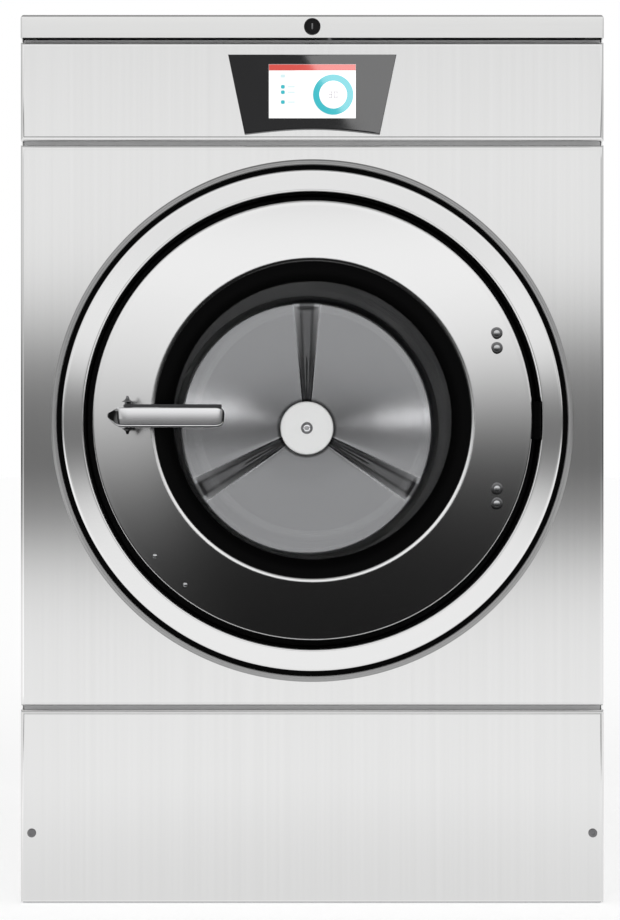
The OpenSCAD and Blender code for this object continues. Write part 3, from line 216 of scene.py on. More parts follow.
class Wire:
    """An output socket. Each sign used on it adds a Math node to its tree."""

    def __init__(self, tree, socket):
        self.tree, self.socket = tree, socket

    def math(self, operation, *others, first=None):
        """The Math node's result; with first given, that value comes before this one."""
        node = self.tree.nodes.new("ShaderNodeMath")
        node.operation = operation
        values = (self, *others) if first is None else (first, self)
        for socket, value in zip(node.inputs, values):
            feed(self.tree, socket, value)
        return Wire(self.tree, node.outputs[0])


def arithmetic(operation):
    """The two methods of one sign: the wire comes before the other value, or after it."""
    return (lambda wire, other: wire.math(operation, other),
            lambda wire, other: wire.math(operation, first=other))


for sign, operation in {"add": "ADD", "sub": "SUBTRACT", "mul": "MULTIPLY", "truediv": "DIVIDE",
                        "pow": "POWER"}.items():
    before, after = arithmetic(operation)
    setattr(Wire, f"__{sign}__", before)
    setattr(Wire, f"__r{sign}__", after)


class Nodes:
    """A node tree with one way of adding a node to it."""

    def __init__(self, tree):
        self.tree = tree
        tree.nodes.clear()

    def node(self, kind, settings=None, inputs=None, out=0):
        """Adds a node: settings are its attributes, inputs the values or wires it takes."""
        node = self.tree.nodes.new("ShaderNode" + kind)
        for key, value in (settings or {}).items():
            setattr(node, key, value)
        for key, value in (inputs or {}).items():
            feed(self.tree, node.inputs[key], value)
        return Wire(self.tree, node.outputs[out])

    def parts(self, vector):
        """The three numbers of a vector."""
        split = self.tree.nodes.new("ShaderNodeSeparateXYZ")
        feed(self.tree, split.inputs[0], vector)
        return [Wire(self.tree, socket) for socket in split.outputs]

    def vector(self, x, y, z):
        return self.node("CombineXYZ", None, {0: x, 1: y, 2: z})

    def vectors(self, operation, a, b=None, scale=None):
        """One Vector Math node."""
        given = {0: a, 1: b} if scale is None else {0: a, 3: scale}
        return self.node("VectorMath", {"operation": operation}, given)

    def mix(self, factor, a, b):
        """Colour a where the factor is 0 and colour b where it is 1."""
        return self.node("Mix", {"data_type": "RGBA"}, {0: factor, 6: a, 7: b}, out=2)

    def step(self, value, low, high, to_low=0.0, to_high=1.0):
        """Smooth step of a value between low and high."""
        given = {0: value, 1: low, 2: high, 3: to_low, 4: to_high}
        return self.node("MapRange", {"interpolation_type": "SMOOTHSTEP"}, given)

    def noise(self, vector, scale=1.0, detail=2.0, out=0):
        given = {"Vector": vector, "Scale": scale, "Detail": detail}
        return self.node("TexNoise", None, given, out)


class Finish(Nodes):
    """A material with one Principled shader: numbers are set on it, and what varies is wired."""

    def __init__(self, name, color, roughness, metallic=0.0, **constants):
        self.material = bpy.data.materials.new(name)
        self.material.use_nodes = True
        super().__init__(self.material.node_tree)
        self.shader = self.tree.nodes.new("ShaderNodeBsdfPrincipled")
        self.output = self.tree.nodes.new("ShaderNodeOutputMaterial")
        self.tree.links.new(self.shader.outputs[0], self.output.inputs[0])
        self.set("Base Color", (*color, 1))
        self.set("Roughness", roughness)
        self.set("Metallic", metallic)
        for key, value in constants.items():
            self.set(key.replace("_", " ").title().replace("Ior", "IOR"), value)

    def set(self, socket, value):
        feed(self.tree, self.shader.inputs[socket], value)

    def place(self):
        """Object coordinates, in metres, as a vector."""
        return self.node("TexCoord", None, None, out=3)

    def bump(self, height, strength, distance=0.001):
        given = {"Height": height, "Strength": strength, "Distance": distance}
        self.set("Normal", self.node("Bump", None, given))

    def lean(self, across, amount):
        """Leans the normal by amount along the direction across, given in object space."""
        turn = {"vector_type": "VECTOR", "convert_from": "OBJECT", "convert_to": "WORLD"}
        world = self.node("VectorTransform", turn, {0: across})
        flat = self.node("NewGeometry", None, None, out=1)
        push = self.vectors("SCALE", world, scale=amount)
        self.set("Normal", self.vectors("NORMALIZE", self.vectors("ADD", flat, push)))


# %% [markdown]
# ## Steel
#
# Satin sheet is scratched along one direction. The scratches are far finer than a pixel, so a bump
# map of them would be averaged away before light reaches it. Here each point's normal leans a
# little across the scratches, by a noise that changes a thousand times a metre: many rays then
# average the reflections instead, which smears them across the grain as the real sheet does.
# Turned parts have their grain in circles, so there the normal leans along the radius.

# %% Brushed, turned and polished steel
def brushed_sheet(name, color, roughness, spread, grain=(0.0, 0.0, 1.0)):
    """Sheet brushed along grain: noise stretched 150 times along it leans the normal across it."""
    f = Finish(name, color, roughness, 1.0)
    where = f.place()
    squeeze = tuple(1400.0 - 1391.0 * g for g in grain)
    lines = f.noise(f.vectors("MULTIPLY", where, squeeze), 1.0, 1.0)
    flat = f.node("NewGeometry", None, None, out=1)
    across = f.vectors("CROSS_PRODUCT", flat, grain)
    f.lean(across, (lines - 0.5) * spread)
    cloud = f.noise(where, 2.3, 3.0)
    f.set("Roughness", roughness + 0.03 * (cloud - 0.5))
    shade = 0.97 + 0.06 * f.noise(f.vectors("MULTIPLY", where, squeeze), 0.11, 2.0)
    f.set("Base Color", f.vectors("SCALE", color, scale=shade))
    return f.material


def about_axis(f, ring_scale):
    """Where a point is about the drum's axis: its two offsets, the direction out from the axis,
    the radius, and a noise that changes with the radius alone, between -0.5 and 0.5."""
    x, _, z = f.parts(f.place())
    x, z = x - AXIS[0] * MM, z - AXIS[1] * MM
    arm = f.vector(x, 0.0, z)
    radius = f.node("VectorMath", {"operation": "LENGTH"}, {0: arm}, out=1)
    grooves = f.node("TexNoise", {"noise_dimensions": "1D"},
                     {"W": radius, "Scale": ring_scale, "Detail": 1.0})
    return x, z, f.vectors("NORMALIZE", arm), radius, grooves - 0.5


def turned_steel(name, color, roughness, spread):
    """Steel turned about the drum's axis: the normal leans out from it by spread noise(r)."""
    f = Finish(name, color, roughness, 1.0)
    _, _, outwards, _, grooves = about_axis(f, 1800.0)
    f.lean(outwards, grooves * spread)
    cloud = f.noise(f.place(), 3.0, 3.0)
    f.set("Roughness", roughness + 0.04 * (cloud - 0.5))
    return f.material


def smooth_metal(name, color, roughness, speck=90.0, change=0.05):
    """Plain polished or ground metal with a faint change of gloss."""
    f = Finish(name, color, roughness, 1.0)
    spots = f.noise(f.place(), speck, 3.0)
    f.set("Roughness", roughness + change * (spots - 0.5))
    f.set("Base Color", f.vectors("SCALE", color, scale=0.97 + 0.06 * spots))
    return f.material


PANEL_STEEL = brushed_sheet("steel_panel", (0.80, 0.80, 0.798), 0.085, 0.05)
TOP_STEEL = brushed_sheet("steel_top", (0.80, 0.80, 0.795), 0.15, 0.05, grain=(1.0, 0.0, 0.0))
COLLAR_STEEL = turned_steel("steel_collar", (0.83, 0.83, 0.83), 0.10, 0.03)
RING_STEEL = turned_steel("steel_ring", (0.88, 0.88, 0.88), 0.25, 0.03)
# The hole bead is the front sheet's steel painted dark grey: painted shade.
BEAD_PAINTED_SHADE_STEEL = smooth_metal("steel_bead_painted_shade", (0.36, 0.36, 0.36), 0.30)

RIB_IN, RIB_OUT, RIB_NARROW, RIB_WIDE, DRUM_DISC = 41.0, 206.0, 7.5, 26.0, 211.0


def drum_steel():
    """Drum back: turned in the middle and duller on its three ribs. Its colour holds painted light
    and shade: the ribs are painted lighter, their crests painted darker, a painted shadow rings
    the hub, and the ring outside the pressed disc is painted dark as shade.

    A point at angle a from the nearest rib's axis is on the rib where r sin a is under the half
    width, which grows evenly with r. The back is slightly dished, so its normal leans inwards by
    0.95 r, with r in metres, and the grooves spread that along the radius."""
    color = (0.26, 0.26, 0.265)
    f = Finish("steel_drum", color, 0.1, 1.0)
    x, z, outwards, radius, grooves = about_axis(f, 6000.0)
    angle = z.math("ARCTAN2", x) + math.pi / 2 + 2 * math.pi
    off = angle.math("MODULO", 2 * math.pi / 3) - math.pi / 3
    aside = radius * off.math("SINE").math("ABSOLUTE")
    grow = (RIB_WIDE - RIB_NARROW) / (RIB_OUT - RIB_IN)
    half = grow * radius + (RIB_NARROW - grow * RIB_IN) * MM
    # Masks for the painted light and shade below: outside the disc, on a rib, on its crest, and the
    # painted shadow ring round the hub.
    outside = f.step(radius, (DRUM_DISC - 2) * MM, (DRUM_DISC + 3) * MM)
    rib = f.step(aside - half, 0.001, -0.006) * (1.0 - outside)
    crest = f.step(aside - 0.5 * half, 0.002, -0.003) * rib
    shadow = f.step(radius, 0.0515, 0.0475)
    f.lean(outwards, grooves * 0.24 - 0.95 * radius)
    # Painted light and shade in the colour: ribs lighter, crests darker, a painted shadow round the
    # hub, and the ring outside the disc dark.
    shade = (1.0 + 0.8 * rib - 1.2 * crest) * (1.0 - 0.75 * outside) * (1.0 - 0.8 * shadow)
    f.set("Base Color", f.vectors("SCALE", color, scale=shade))
    f.set("Roughness", 0.1 + 0.22 * rib + 0.3 * outside)
    return f.material


def perforated_steel(name, pitch=0.009, hole=0.32):
    """Drum wall: rows of holes, where sin(pi u) sin(pi v) is over hole; u runs round the drum
    and v along it, both in steps of the pitch. The holes are painted near-black, a painted shade
    for the dark tub behind them."""
    f = Finish(name, (0.40, 0.40, 0.41), 0.36, 1.0)
    x, y, z = f.parts(f.place())
    round_ = (z - AXIS[1] * MM).math("ARCTAN2", x) * 0.325
    u = (round_ + y) * (math.pi / pitch)
    v = (round_ - y) * (math.pi / pitch)
    holes = f.step(u.math("SINE") * v.math("SINE"), hole, hole + 0.08)
    # The holes are painted near-black: painted shade.
    f.set("Base Color", f.mix(holes, (0.40, 0.40, 0.41, 1), (0.006, 0.006, 0.006, 1)))
    f.set("Roughness", 0.36 + 0.4 * holes)
    return f.material


DRUM_STEEL = drum_steel()
WALL_STEEL = perforated_steel("steel_drum_wall")
DARK_STEEL = smooth_metal("steel_dark", (0.20, 0.20, 0.205), 0.30)
BRIGHT_STEEL = smooth_metal("steel_bright", (0.66, 0.67, 0.68), 0.28)
CHROME = smooth_metal("chrome", (0.90, 0.90, 0.91), 0.10, 40.0, 0.03)
print("steels", [m.name for m in bpy.data.materials])

# %% [markdown]
# ## The other finishes
#
# Rubber is nearly black with a fine tooth. Moulded plastic has a spark-eroded grain. Powder coat
# has orange peel, castings have a coarse skin, zinc shows its crystals, and the glass lets light
# straight through and adds only the gloss of its surface, stronger at a grazing angle.

# %% Rubber, plastic, paint, castings, zinc and glass
def grained(name, color, roughness, scale, depth, mottle=0.12, **constants):
    """Plastic, rubber or paint: a noise of the given scale gives the grain and a slight mottle."""
    f = Finish(name, color, roughness, 0.0, **constants)
    grain = f.noise(f.place(), scale, 3.0)
    f.bump(grain, 0.4, depth)
    f.set("Roughness", roughness + 0.12 * (grain - 0.5))
    cloud = f.noise(f.place(), 9.0, 3.0)
    f.set("Base Color", f.vectors("SCALE", color, scale=1.0 - mottle / 2 + mottle * cloud))
    return f.material


def casting(name, color, roughness, metallic):
    """Sand casting: two noises, one coarse for the skin and one fine for its pits."""
    f = Finish(name, color, roughness, metallic)
    skin = f.noise(f.place(), 160.0, 5.0)
    pits = f.noise(f.place(), 900.0, 2.0)
    f.bump(skin + 0.4 * pits, 0.6, 0.0008)
    f.set("Base Color", f.vectors("SCALE", color, scale=0.8 + 0.4 * skin))
    return f.material


def zinc(name):
    """Galvanised sheet: each crystal is a cell of a Voronoi pattern with its own grey."""
    f = Finish(name, (0.5, 0.51, 0.52), 0.42, 1.0)
    cells = f.node("TexVoronoi", None, {"Vector": f.place(), "Scale": 55.0}, out=1)
    grey = f.parts(cells)[0]
    f.set("Base Color", f.mix(grey, (0.40, 0.41, 0.42, 1), (0.62, 0.63, 0.65, 1)))
    f.set("Roughness", 0.34 + 0.18 * grey)
    return f.material


def clear_glass(name):
    """Glass: straight through, with a weak gloss that follows the Fresnel law up to a limit."""
    f = Finish(name, (0.85, 0.88, 0.88), 0.03)
    gloss = f.node("BsdfGlossy", None, {"Color": (1, 1, 1, 1), "Roughness": 0.03})
    clear = f.node("BsdfTransparent", None, {"Color": (0.965, 0.968, 0.97, 1)})
    edge = f.node("Fresnel", None, {"IOR": 1.45})
    smear = f.noise(f.place(), 14.0, 3.0)
    weak = (edge * (0.3 + 0.1 * smear)).math("MINIMUM", 0.016)
    mixed = f.node("MixShader", None, {0: weak, 1: clear, 2: gloss})
    f.tree.nodes.remove(f.shader)
    f.tree.links.new(mixed.socket, f.output.inputs[0])
    return f.material


def board_green(name):
    """Circuit board: solder mask with a brick pattern as its copper tracks."""
    f = Finish(name, (0.02, 0.16, 0.07), 0.4)
    look = {"Vector": f.place(), "Scale": 60.0, "Mortar Size": 0.03}
    tracks = f.node("TexBrick", None, look, out=1)
    f.set("Base Color", f.mix(tracks, (0.02, 0.16, 0.07, 1), (0.10, 0.32, 0.16, 1)))
    return f.material


RUBBER = grained("rubber_black", (0.0015, 0.0015, 0.0016), 0.5, 700.0, 0.0004,
                 specular_ior_level=0.03)
DISPLAY_GLASS = grained("display_glass", (0.003, 0.003, 0.0035), 0.05, 30.0, 0.00002,
                        specular_ior_level=0.3)
HOSE = grained("rubber_hose", (0.03, 0.03, 0.032), 0.6, 500.0, 0.0004)
BLACK_PLASTIC = grained("plastic_black", (0.03, 0.03, 0.033), 0.42, 900.0, 0.0003)
# Near-black coat: painted shade for the dark gap round the door.
GAP_SHADE_COAT = grained("coat_black_gap_shade", (0.006, 0.006, 0.0065), 0.6, 500.0, 0.0002,
                     specular_ior_level=0.2)
RAIL_COAT = grained("coat_rail", (0.62, 0.62, 0.625), 0.6, 500.0, 0.0002)
LOCK_BLACK = grained("lock_black", (0.004, 0.004, 0.0045), 0.14, 60.0, 0.0001,
                     specular_ior_level=0.15)
WHITE_PLASTIC = grained("plastic_hopper", (0.80, 0.81, 0.81), 0.38, 700.0, 0.0002, 0.05)
CAP_WHITE = grained("cap_white", (0.80, 0.80, 0.79), 0.35, 500.0, 0.0001, 0.05)
BLUE_PLASTIC = grained("plastic_valve", (0.06, 0.16, 0.42), 0.4, 800.0, 0.0002)
FRAME_PAINT = grained("paint_frame", (0.10, 0.105, 0.115), 0.45, 420.0, 0.0004)
MOTOR_PAINT = grained("paint_motor", (0.06, 0.10, 0.15), 0.4, 300.0, 0.0005)
SPRING_PAINT = grained("paint_spring", (0.05, 0.05, 0.055), 0.4, 300.0, 0.0003)
IRON = casting("cast_iron", (0.20, 0.21, 0.22), 0.55, 0.4)
ALUMINIUM = casting("cast_aluminium", (0.55, 0.56, 0.57), 0.42, 1.0)
ZINC = zinc("zinc_sheet")
GLASS = clear_glass("clear_glass")
BOARD = board_green("circuit_board")
print("finishes", len(bpy.data.materials))

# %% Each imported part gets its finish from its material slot
SLOT_PAINT = {
    "stainless": PANEL_STEEL, "polished_steel": COLLAR_STEEL, "chrome": CHROME,
    "galvanised": ZINC, "frame_paint": FRAME_PAINT, "rubber_black": RUBBER,
    "clear_glass": GLASS, "black_glass": DISPLAY_GLASS, "screen": WHITE_PLASTIC,
    "circuit_green": BOARD, "hopper_plastic": WHITE_PLASTIC, "hose_rubber": HOSE,
    "valve_plastic": BLUE_PLASTIC, "black_plastic": BLACK_PLASTIC, "motor_paint": MOTOR_PAINT,
    "cast_iron": IRON, "cast_aluminium": ALUMINIUM, "bright_steel": BRIGHT_STEEL,
    "spring_steel": SPRING_PAINT, "cap_white": CAP_WHITE, "drum_steel": WALL_STEEL,
    "lock_black": LOCK_BLACK,
}
for name, slot in SLOT_OF.items():
    frame["nodes"][name].data.materials.clear()
    frame["nodes"][name].data.materials.append(SLOT_PAINT[slot])

# The tub's front, the door frame and lock box, and the hinge are near-black: painted shade that
# stands in for the dark gap round the door. The rails and posts behind the gaps are light grey.
GAP_SHADE_BLACK = grained("painted_gap_shade_black", (0.001, 0.001, 0.001), 0.6, 500.0, 0.0002,
                     specular_ior_level=0.02)
for paint, names in ((GAP_SHADE_COAT, ("tub_front_plate", "door_frame", "door_lock_box")),
                     (RAIL_COAT, ("cross_rails", "corner_posts")),
                     (GAP_SHADE_BLACK, ("hinge_bracket", "hinge_pin", "door_hinge_plate"))):
    for name in names:
        frame["nodes"][name].data.materials[0] = paint
print("finished parts", len(SLOT_OF))

# %% [markdown]
# ## Outlines and folded edges
#
# Sheet parts are rings. A closed outline is drawn in by an inset while it moves in depth, and the
# pairs (inset, depth) are the profile of the edge: a quarter arc for a bend, a short arc for a
# rounded edge. A face with a hole is filled between the outline's last ring and the hole's.

# %% Rings of sheet parts
SIDE_BEND, FRONT_BEND = 2.6, 5.5


def rectangle(x0, x1, z0, z1, inset=0.0, corner=0.4, steps=4):
    """Closed outline of a rectangle drawn in by inset, its corners rounded by corner - inset."""
    r = max(corner - inset, 0.0)
    x0, x1, z0, z1 = x0 + inset + r, x1 - inset - r, z0 + inset + r, z1 - inset - r
    return chain(
        arc(x1, z1, r, 0, 90, steps),
        arc(x0, z1, r, 90, 180, steps),
        arc(x0, z0, r, 180, 270, steps),
        arc(x1, z0, r, 270, 360, steps),
    )


def drawn_in(outline, inset):
    """Outline moved inwards: each point goes along the mitre of its two edges' normals."""
    ahead = np.roll(outline, -1, 0) - outline
    ahead = ahead / np.linalg.norm(ahead, axis=1, keepdims=True)
    normal = np.stack([-ahead[:, 1], ahead[:, 0]], 1)
    before = np.roll(normal, 1, 0)
    (x, z), (next_x, next_z) = outline.T, np.roll(outline, -1, 0).T
    area = np.sum(x * next_z - z * next_x)
    mitre = (normal + before) / (1 + np.sum(normal * before, 1, keepdims=True))
    return outline + np.sign(area) * inset * mitre


def at_level(outline, level, axis=1):
    """Flat outline placed at one depth, or with axis 2 at one height."""
    return np.insert(outline, axis, level, 1)


def filled(points, *loops):
    """Triangles between an outer loop and the loops inside it, each a list of point numbers."""
    from mathutils.geometry import tessellate_polygon
    numbers = [k for loop in loops for k in loop]
    made = tessellate_polygon([[tuple(points[k]) for k in loop] for loop in loops])
    return [[numbers[k] for k in face] for face in made]


def holed_face(points, n, first, k, hole):
    """Triangles between a ring of n points from number first on and a ring of k from hole on."""
    return filled(points, list(range(first, first + n)), list(range(hole, hole + k)))


def fold_profile(depth, t=SHEET_T, bend=FRONT_BEND):
    """(inset, depth) of a folded edge: flat face, bend, flange, and back along the inside."""
    outer = arc(bend, bend, bend, 270, 180, 9)
    inner = arc(bend, bend, bend - t, 180, 270, 5)
    return chain((bend + 2.5, 0), outer, (0, depth), (t, depth), inner, (bend + 2.5, t))


def folded_sheet(x0, x1, z0, z1, depth=FOLD):
    """Flat sheet with four folded edges."""
    return lofted([at_level(rectangle(x0, x1, z0, z1, i), s) for i, s in fold_profile(depth)])


def rays_to_rectangle(x0, x1, z0, z1, inset, steps=256):
    """The rectangle met by rays at equal angles from the axis; four rays go to its corners."""
    a = np.arange(steps) * 2 * np.pi / steps
    x0, x1, z0, z1 = x0 + inset, x1 - inset, z0 + inset, z1 - inset
    for x, z in ((x1, z1), (x0, z1), (x0, z0), (x1, z0)):
        corner = math.atan2(z - AXIS[1], x - AXIS[0]) % (2 * np.pi)
        a[np.argmin(np.abs(a - corner))] = corner
    c, s = np.cos(a), np.sin(a)
    to_side = np.where(c > 0, x1 - AXIS[0], AXIS[0] - x0) / np.maximum(np.abs(c), 1e-9)
    to_end = np.where(s > 0, z1 - AXIS[1], AXIS[1] - z0) / np.maximum(np.abs(s), 1e-9)
    ray = np.stack([c, s], 1)
    return AXIS + np.minimum(to_side, to_end)[:, None] * ray, ray


def holed_sheet(x0, x1, z0, z1, hole, depth=FOLD):
    """Folded sheet with a round hole whose edge has the profile hole, a list of (r, depth)."""
    rings = []
    for inset, s in fold_profile(depth):
        outline, ray = rays_to_rectangle(x0, x1, z0, z1, inset)
        rings.append(at_level(outline, s))
    rings += [at_level(AXIS + ray * r, s) for r, s in hole]
    return lofted(rings, closed_round=True)


def rounded_block(low, high, r=0.8, axis=1, corner=0.0):
    """Box with rounded edges: rings along one axis, drawn in by r - r sin a at r - r cos a."""
    low, high = np.array(low, float), np.array(high, float)
    side = [k for k in (0, 1, 2) if k != axis]
    a = np.radians(np.linspace(0, 90, 4))
    inset, along = r - r * np.sin(a), r - r * np.cos(a)
    rows = []
    for i, place in [*zip(inset, low[axis] + along), *zip(inset[::-1], high[axis] - along[::-1])]:
        flat = rectangle(low[side[0]], high[side[0]], low[side[1]], high[side[1]], i, corner + r)
        row = np.full((len(flat), 3), place)
        row[:, side] = flat
        rows.append(row)
    return lofted(rows)


def button(x, z, profile, steps=40):
    """Round head on the depth axis at (x, z); the profile (r, s) ends on the axis at both ends."""
    return turned(profile, steps, (x, z))


# %% Front sheets
for name, node in (("fascia_sheet", "control_fascia"), ("lower_sheet", "lower_front_panel")):
    low, high = box_mm(node)
    shape = folded_sheet(-SHEET_HALF, SHEET_HALF, low[2], high[2])
    make_piece(name, shape, "cabinet", PANEL_STEEL, node)

BEAD_R, BEAD_HALF = 351.5, 4.4
hole_edge = chain((BEAD_R + 7, SHEET_T), (BEAD_R + 2, SHEET_T), (BEAD_R + 2, 0), (BEAD_R + 7, 0))
shape = holed_sheet(-SHEET_HALF, SHEET_HALF, sheet_low[2], sheet_high[2], hole_edge)
make_piece("main_sheet", shape, "cabinet", PANEL_STEEL, "front_panel")
bead = chain(arc(BEAD_R, 0, BEAD_HALF, 0, 360, 24)[:-1])
# The bead takes the darker steel, a painted shade.
make_piece("hole_bead", turned(bead), "cabinet", BEAD_PAINTED_SHADE_STEEL, "front_panel")


def side_sheet(way, outer, inner, s0, s1, z0, z1, reach):
    """Side sheet: its section (x, depth) is a strip that bends inwards at the rear."""
    bend = SIDE_BEND
    section = chain(
        arc(outer - 0.6, s0 + 0.6, 0.6, 0, -90, 3),
        arc(inner + 0.6, s0 + 0.6, 0.6, -90, -180, 3),
        arc(inner - bend + SHEET_T, s1 - bend, bend - SHEET_T, 0, 90, 3),
        (reach, s1 - SHEET_T),
        (reach, s1),
        arc(outer - bend, s1 - bend, bend, 90, 0, 5),
    )
    rows = []
    for z, inset in ((z0, 0.5), (z0 + 0.5, 0), (z1 - 0.5, 0), (z1, 0.5)):
        flat = drawn_in(section, inset)
        rows.append(at_level(flat * [way, 1], z, 2))
    return lofted(rows)


for name, side, way in (("side_sheet_left", "left_side_panel", -1),
                        ("side_sheet_right", "right_side_panel", 1)):
    low, high = box_mm(side)
    outer, reach = max(abs(low[0]), abs(high[0])), min(abs(low[0]), abs(high[0]))
    shape = side_sheet(way, outer, outer - SHEET_T, low[1], high[1], low[2], high[2], reach)
    make_piece(name, shape, "cabinet", PANEL_STEEL, side)
print("sheets", [p.name for p in PIECES])

# %% [markdown]
# ## Round parts
#
# The collar, the door's crown, the gasket, the glass and the hub are profiles turned about the
# drum's axis. The crown is a shallow dome: at radius r its face lies behind the dome's top by
# sag(r) = R - sqrt(R^2 - r^2). Its two edges are rolled over.

# %% Collar and the seal behind it
low, high = box_mm("door_collar")
COLLAR_IN, COLLAR_OUT, COLLAR_R, COLLAR_T, COLLAR_LEAN = 310.0, 340.0, 3.0, 2.0, 1.8
collar_low, collar_high = low[1], high[1]
collar_edge = collar_low + COLLAR_LEAN
flange_r = high[0]
collar_profile = chain(
    (flange_r, SHEET_T),
    (COLLAR_OUT, SHEET_T),
    arc(COLLAR_OUT - COLLAR_R, collar_edge + COLLAR_R, COLLAR_R, 0, -84, 8),
    (COLLAR_OUT - COLLAR_R - 2, collar_edge - 0.14),
    (COLLAR_IN + COLLAR_R + 2, collar_low + 0.14),
    arc(COLLAR_IN + COLLAR_R, collar_low + COLLAR_R, COLLAR_R, -84, -180, 8),
    (COLLAR_IN, collar_high),
    (COLLAR_IN + COLLAR_T, collar_high),
    arc(COLLAR_IN + COLLAR_R, collar_low + COLLAR_R, COLLAR_R - COLLAR_T, -180, -90, 6),
    arc(COLLAR_OUT - COLLAR_R, collar_edge + COLLAR_R, COLLAR_R - COLLAR_T, -90, 0, 6),
    (COLLAR_OUT - COLLAR_T, SHEET_T + COLLAR_T),
    (flange_r, SHEET_T + COLLAR_T),
)
make_piece("collar_ring", turned(collar_profile), "cabinet", COLLAR_STEEL, "door_collar")
joint_in, joint_out = COLLAR_OUT - 0.4, BEAD_R - 1
joint_middle = (joint_in + joint_out) / 2
joint_profile = chain((joint_in, SHEET_T - 0.1), (joint_out, SHEET_T - 0.1), (joint_out, 0.4),
                      (joint_middle + 2, 1.2), (joint_middle, 1.4), (joint_middle - 2, 1.2),
                      (joint_in, 0.4))
make_piece("collar_joint", turned(joint_profile), "cabinet", RUBBER)

seal_low, seal_high = box_mm("collar_seal")
seal_out = seal_high[0]
seal_profile = chain(
    (COLLAR_IN, seal_low[1]),
    arc(seal_out - 1.5, seal_low[1] + 1.5, 1.5, -90, 0, 4),
    arc(seal_out - 1.5, seal_low[1] + 4.5, 1.5, 0, 90, 4),
    (COLLAR_IN + 6.5, seal_low[1] + 9),
    (COLLAR_IN + 5, seal_low[1] + 12),
    (COLLAR_IN + 5, seal_high[1] - 2),
    arc(COLLAR_IN + 2.5, seal_high[1] - 2.5, 2.5, 0, 180, 8),
)
make_piece("collar_skirt", turned(seal_profile), "cabinet", RUBBER, "collar_seal")
print("collar", [p.name for p in PIECES[-3:]])

# %% Door crown with rolled edges and a notch for the hinge
DOME_R, WINDOW_R, DOOR_R, RING_T, ROLL_IN, ROLL_OUT = 950.0, 219.0, 297.0, 2.0, 5.5, 4.4
LIP_R = 211.5
RING_BACK = box_mm("door_ring")[1][1]
FRAME_FRONT = -4.0
DOOR_PROUD = 45.0
HINGE_FACE = -21.5
HINGE_HALF = 30.0


def sag(r):
    """Depth of the dome's face behind its top at radius r."""
    return DOME_R - np.sqrt(DOME_R ** 2 - r ** 2)


def crown_s(r):
    """Depth of the door ring's face at radius r."""
    return -DOOR_PROUD + sag(r) - sag(WINDOW_R)


face_r = np.linspace(LIP_R + ROLL_IN + 0.8, DOOR_R - ROLL_OUT - 0.8, 26)
face = np.stack([face_r, crown_s(face_r)], 1)
back_r = np.linspace(DOOR_R - RING_T, WINDOW_R + RING_T, 20)
back = np.stack([back_r, crown_s(back_r) + RING_T + 0.8], 1)
crown_profile = chain(
    (WINDOW_R, FRAME_FRONT),
    (WINDOW_R, crown_s(WINDOW_R) + 5),
    (LIP_R + 1.5, crown_s(LIP_R) + ROLL_IN + 0.6),
    arc(LIP_R + ROLL_IN, crown_s(LIP_R + ROLL_IN) + ROLL_IN, ROLL_IN, 180, 278, 12),
    face,
    arc(DOOR_R - ROLL_OUT, crown_s(DOOR_R - ROLL_OUT) + ROLL_OUT, ROLL_OUT, 288, 360, 10),
    (DOOR_R, RING_BACK),
    (DOOR_R - RING_T, RING_BACK),
    back,
    (WINDOW_R + RING_T, FRAME_FRONT),
)
points, faces = turned(crown_profile, 320)
near_hinge = (points[:, 0] > DOOR_R - 12) & (np.abs(points[:, 2] - AXIS[1]) < HINGE_HALF + 3)
points[near_hinge, 1] = np.minimum(points[near_hinge, 1], HINGE_FACE)
make_piece("door_crown", (points, faces), "door", RING_STEEL, "door_ring")
print("crown", len(points), "points, face from", round(face_r[0], 1), "to", round(face_r[-1], 1))

# %% Gasket round the glass, and the glass bowl
VIEW_R, FLANGE_S, GLASS_T = 188.0, -16.0, 6.0
FLANGE_R = VIEW_R + 17.8
lip = np.linspace(0, 1, 25)[1:]
lip_front = crown_s(WINDOW_R) + 5
lip_r = WINDOW_R - (WINDOW_R - VIEW_R) * lip
lip_s = lip_front - 4 * np.sin(np.radians(150 * lip)) + 16 * lip ** 3
gasket_profile = chain(
    (WINDOW_R, FRAME_FRONT),
    (WINDOW_R, lip_front),
    np.stack([lip_r, lip_s], 1),
    (VIEW_R, FLANGE_S - 0.2),
    (FLANGE_R + 0.2, FLANGE_S - 0.2),
    (FLANGE_R + 0.2, FLANGE_S + GLASS_T + 0.2),
    (VIEW_R + 6, FLANGE_S + GLASS_T + 0.2),
    (VIEW_R + 6, FRAME_FRONT),
)
make_piece("window_gasket", turned(gasket_profile), "door", RUBBER, "glass_gasket")

GLASS_BACK = box_mm("door_glass")[1][1]
wall_r, end_r, round_r = VIEW_R - 0.2, VIEW_R - 10.2, 24.0
core = end_r - round_r
bowl_profile = chain(
    (FLANGE_R, FLANGE_S),
    (FLANGE_R, FLANGE_S + GLASS_T),
    (wall_r, FLANGE_S + GLASS_T),
    arc(core, GLASS_BACK - round_r, round_r, 0, 90, 12),
    (0, GLASS_BACK),
    (0, GLASS_BACK - GLASS_T),
    arc(core, GLASS_BACK - round_r, round_r - GLASS_T, 90, 0, 12),
    (wall_r - GLASS_T, FLANGE_S + 2),
    (wall_r - GLASS_T + 2, FLANGE_S),
)
make_piece("glass_bowl", turned(bowl_profile), "door", GLASS, "door_glass")
print("window", [p.name for p in PIECES[-2:]])

